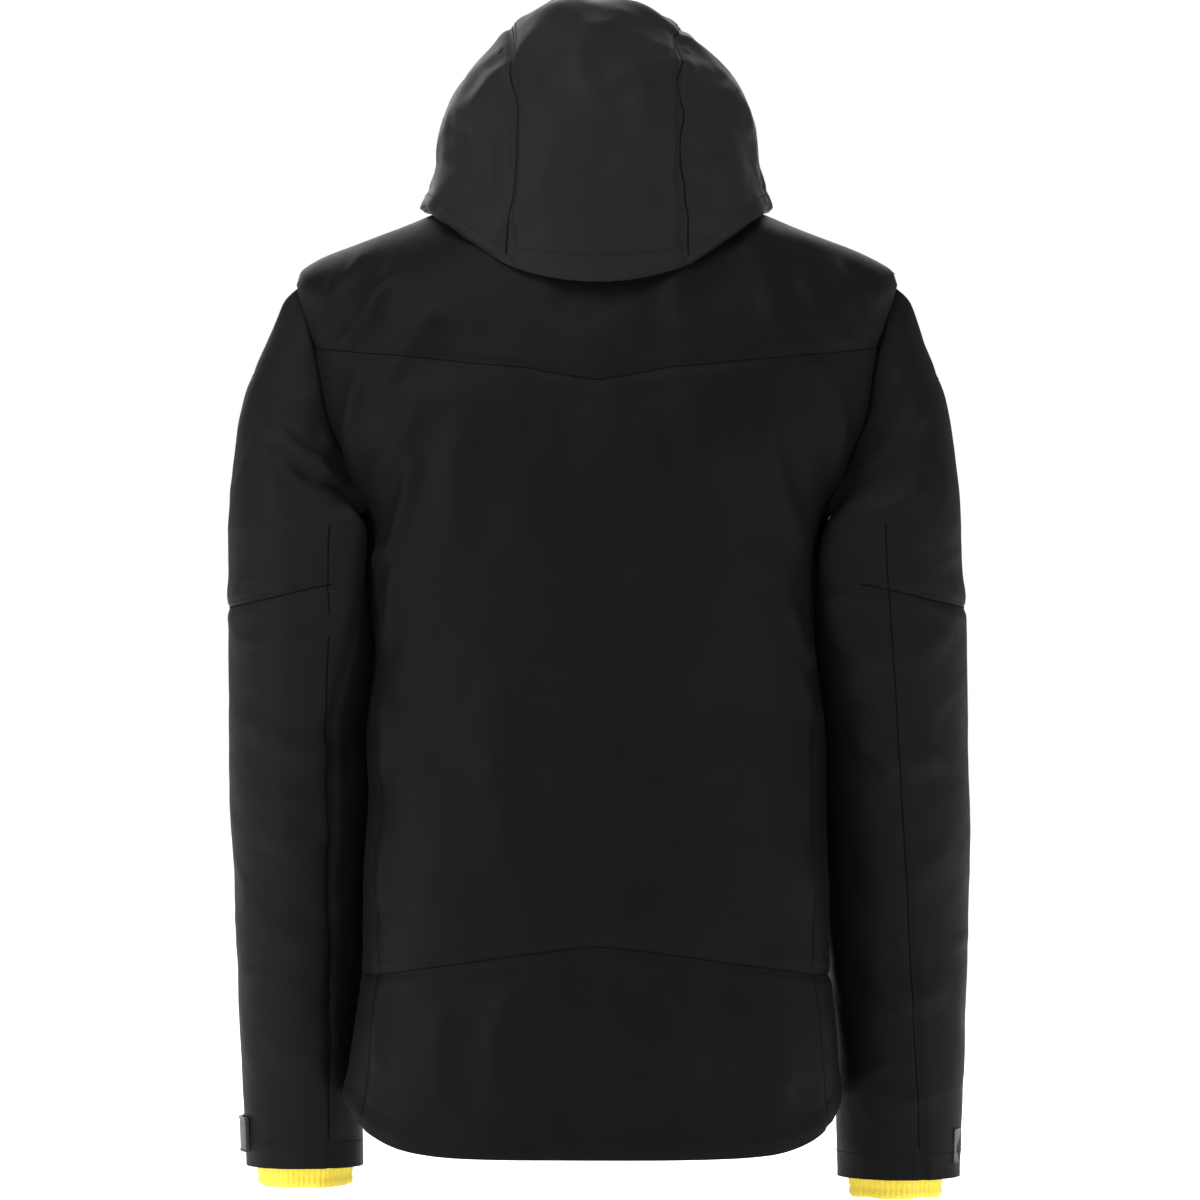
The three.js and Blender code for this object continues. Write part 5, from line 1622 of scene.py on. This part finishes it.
def armhole_lines(offset):
    level = np.linspace(ARMPIT + 0.004, SHOULDER - 0.006, 90)
    spread = armhole(level) + offset
    angles = (90 + spread, 90 - spread, 270 - spread, 270 + spread)
    return [on_body(level, angle) for angle in angles]


around = np.linspace(4.6, 355.4, 620)
back_arc = np.linspace(90 + 17, 270 - 17, 300)
front_arc = np.linspace(5, 90 - 19, 120)
lines = [on_body(hem_seam(around) + drop, around) for drop in (0.0036, 0.0096)]
lines.append(on_body(hem_edge(around) + 0.018, around))
lines.append(on_body(yoke_seam(back_arc) - 0.0038, back_arc))
lines += [on_body(yoke_seam(arc) - 0.0038, arc) for arc in (front_arc, 360 - front_arc)]
seam_shade_lines = [on_body(hem_seam(around), around), on_body(yoke_seam(back_arc), back_arc)]
seam_shade_lines += [on_body(yoke_seam(arc), arc) for arc in (front_arc, 360 - front_arc)]
level = np.linspace(HEM_SEAM - 0.020, ARMPIT - 0.002, 170)
low_level = np.linspace(HEM + 0.030, HEM_SEAM - 0.026, 60)
for middle, way in ((90, -1), (90, 1), (270, -1), (270, 1)):
    lines.append(on_body(level, middle + way * (side_seam(level) + 1.7)))
    seam_shade_lines.append(on_body(level, middle + way * side_seam(level)))
    if way * (middle - 180) < 0:
        seam_shade_lines.append(on_body(low_level, middle + way * side_seam(low_level)))
lines += armhole_lines(1.9)
level = np.linspace(HEM + 0.020, -0.004, 260)
edge = zip_angle(level, 0.0155)
lines += [on_body(level, edge), on_body(level, 360 - edge)]
body_rows = joined("body_stitches", [stitched("rows", body, lines), ditch(body, seam_shade_lines)])
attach(body_rows, "torso")

for side, label in ((1, "left"), (-1, "right")):
    def on_sleeve(turn, z, stand=0.010):
        ends = [hang(arm_point(turn, z, depth), side) * (side, 1, 1) for depth in (-stand, stand)]
        return np.concatenate(ends, -1)

    turn = np.linspace(0, 360, 200)
    upper_lines = [on_sleeve(turn, ARM_SEAM - 0.0125 * np.sin(np.radians(turn)) + 0.0036)]
    z = np.linspace(-0.246, ELBOW_SPLIT, 40)
    upper_lines += [on_sleeve(back_seam_turn(z, side) + 3.6, z), on_sleeve(np.full_like(z, 333.6), z)]
    turn_cap = np.linspace(26, 154, 90)
    head = sleeve_head(turn_cap, cap_seam(turn_cap) + 0.03)
    away = unit(head - (CENTRE + np.array((SLEEVE_OUT - 0.05, 0, -0.20))))
    upper_lines.append((head + away * 0.008) * (side, 1, 1))
    upper_seam_shade_lines = [on_sleeve(turn, ARM_SEAM - 0.0125 * np.sin(np.radians(turn)))]
    upper_seam_shade_lines += [on_sleeve(back_seam_turn(z, side), z), on_sleeve(np.full_like(z, 330.0), z)]
    sleeve_made = bpy.data.objects[f"sleeve_{label}_cloth"]
    rows = joined(
        f"sleeve_{label}_stitches",
        [stitched("rows", sleeve_made, upper_lines), ditch(sleeve_made, upper_seam_shade_lines)],
    )
    across = np.array((0.94 * side, 0, -0.34))
    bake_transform(rows)
    z = np.linspace(ELBOW_SPLIT, CUFF + 0.024, 170)
    lower_lines = [on_sleeve(back_seam_turn(z, side) + 3.6, z), on_sleeve(np.full_like(z, 333.6), z)]
    lower_lines.append(on_sleeve(turn, CUFF + 0.021))
    lower_seam_shade_lines = [on_sleeve(back_seam_turn(z, side), z), on_sleeve(np.full_like(z, 330.0), z)]
    forearm_made = bpy.data.objects[f"forearm_{label}_cloth"]
    rows = joined(
        f"forearm_{label}_stitches",
        [stitched("rows", forearm_made, lower_lines), ditch(forearm_made, lower_seam_shade_lines)],
    )
    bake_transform(rows)


def over_hood(P, stand=0.008):
    return P + unit(P - HOOD_CENTRE) * stand


angles = np.linspace(HOOD_BACK + 4, HOOD_FRONT - 2, 240)
hood_lines = [over_hood(hood_point(strip_edge(angles, share))) for share in (0.93, -0.93)]
rim_turn = np.linspace(NECK_BACK, NECK_FRONT - 2, 160)
rim = hood_point(hood_hem(rim_turn) + (0, 0, 0.115))
hood_lines += [over_hood(rim), over_hood(rim * (-1, 1, 1))]
share = np.linspace(-1, 1, 100)
hood_lines.append(over_hood(hood_point(strip_edge(np.full(100, HOOD_BACK + 7.4), share))))
tacks = []
for x in (0.0735, -0.0665):
    y = np.full(12, 0.050)
    tacks.append(over_hood(hood_point(np.stack([np.full(12, x), y, np.linspace(0.080, 0.0885, 12)], -1))))
hood_seams = [over_hood(hood_point(strip_edge(angles, share))) for share in (1, -1)]
hood_rows = joined(
    "hood_stitches", [stitched("rows", hood, hood_lines, crosswise=tacks), ditch(hood, hood_seams)]
)
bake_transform(hood_rows)
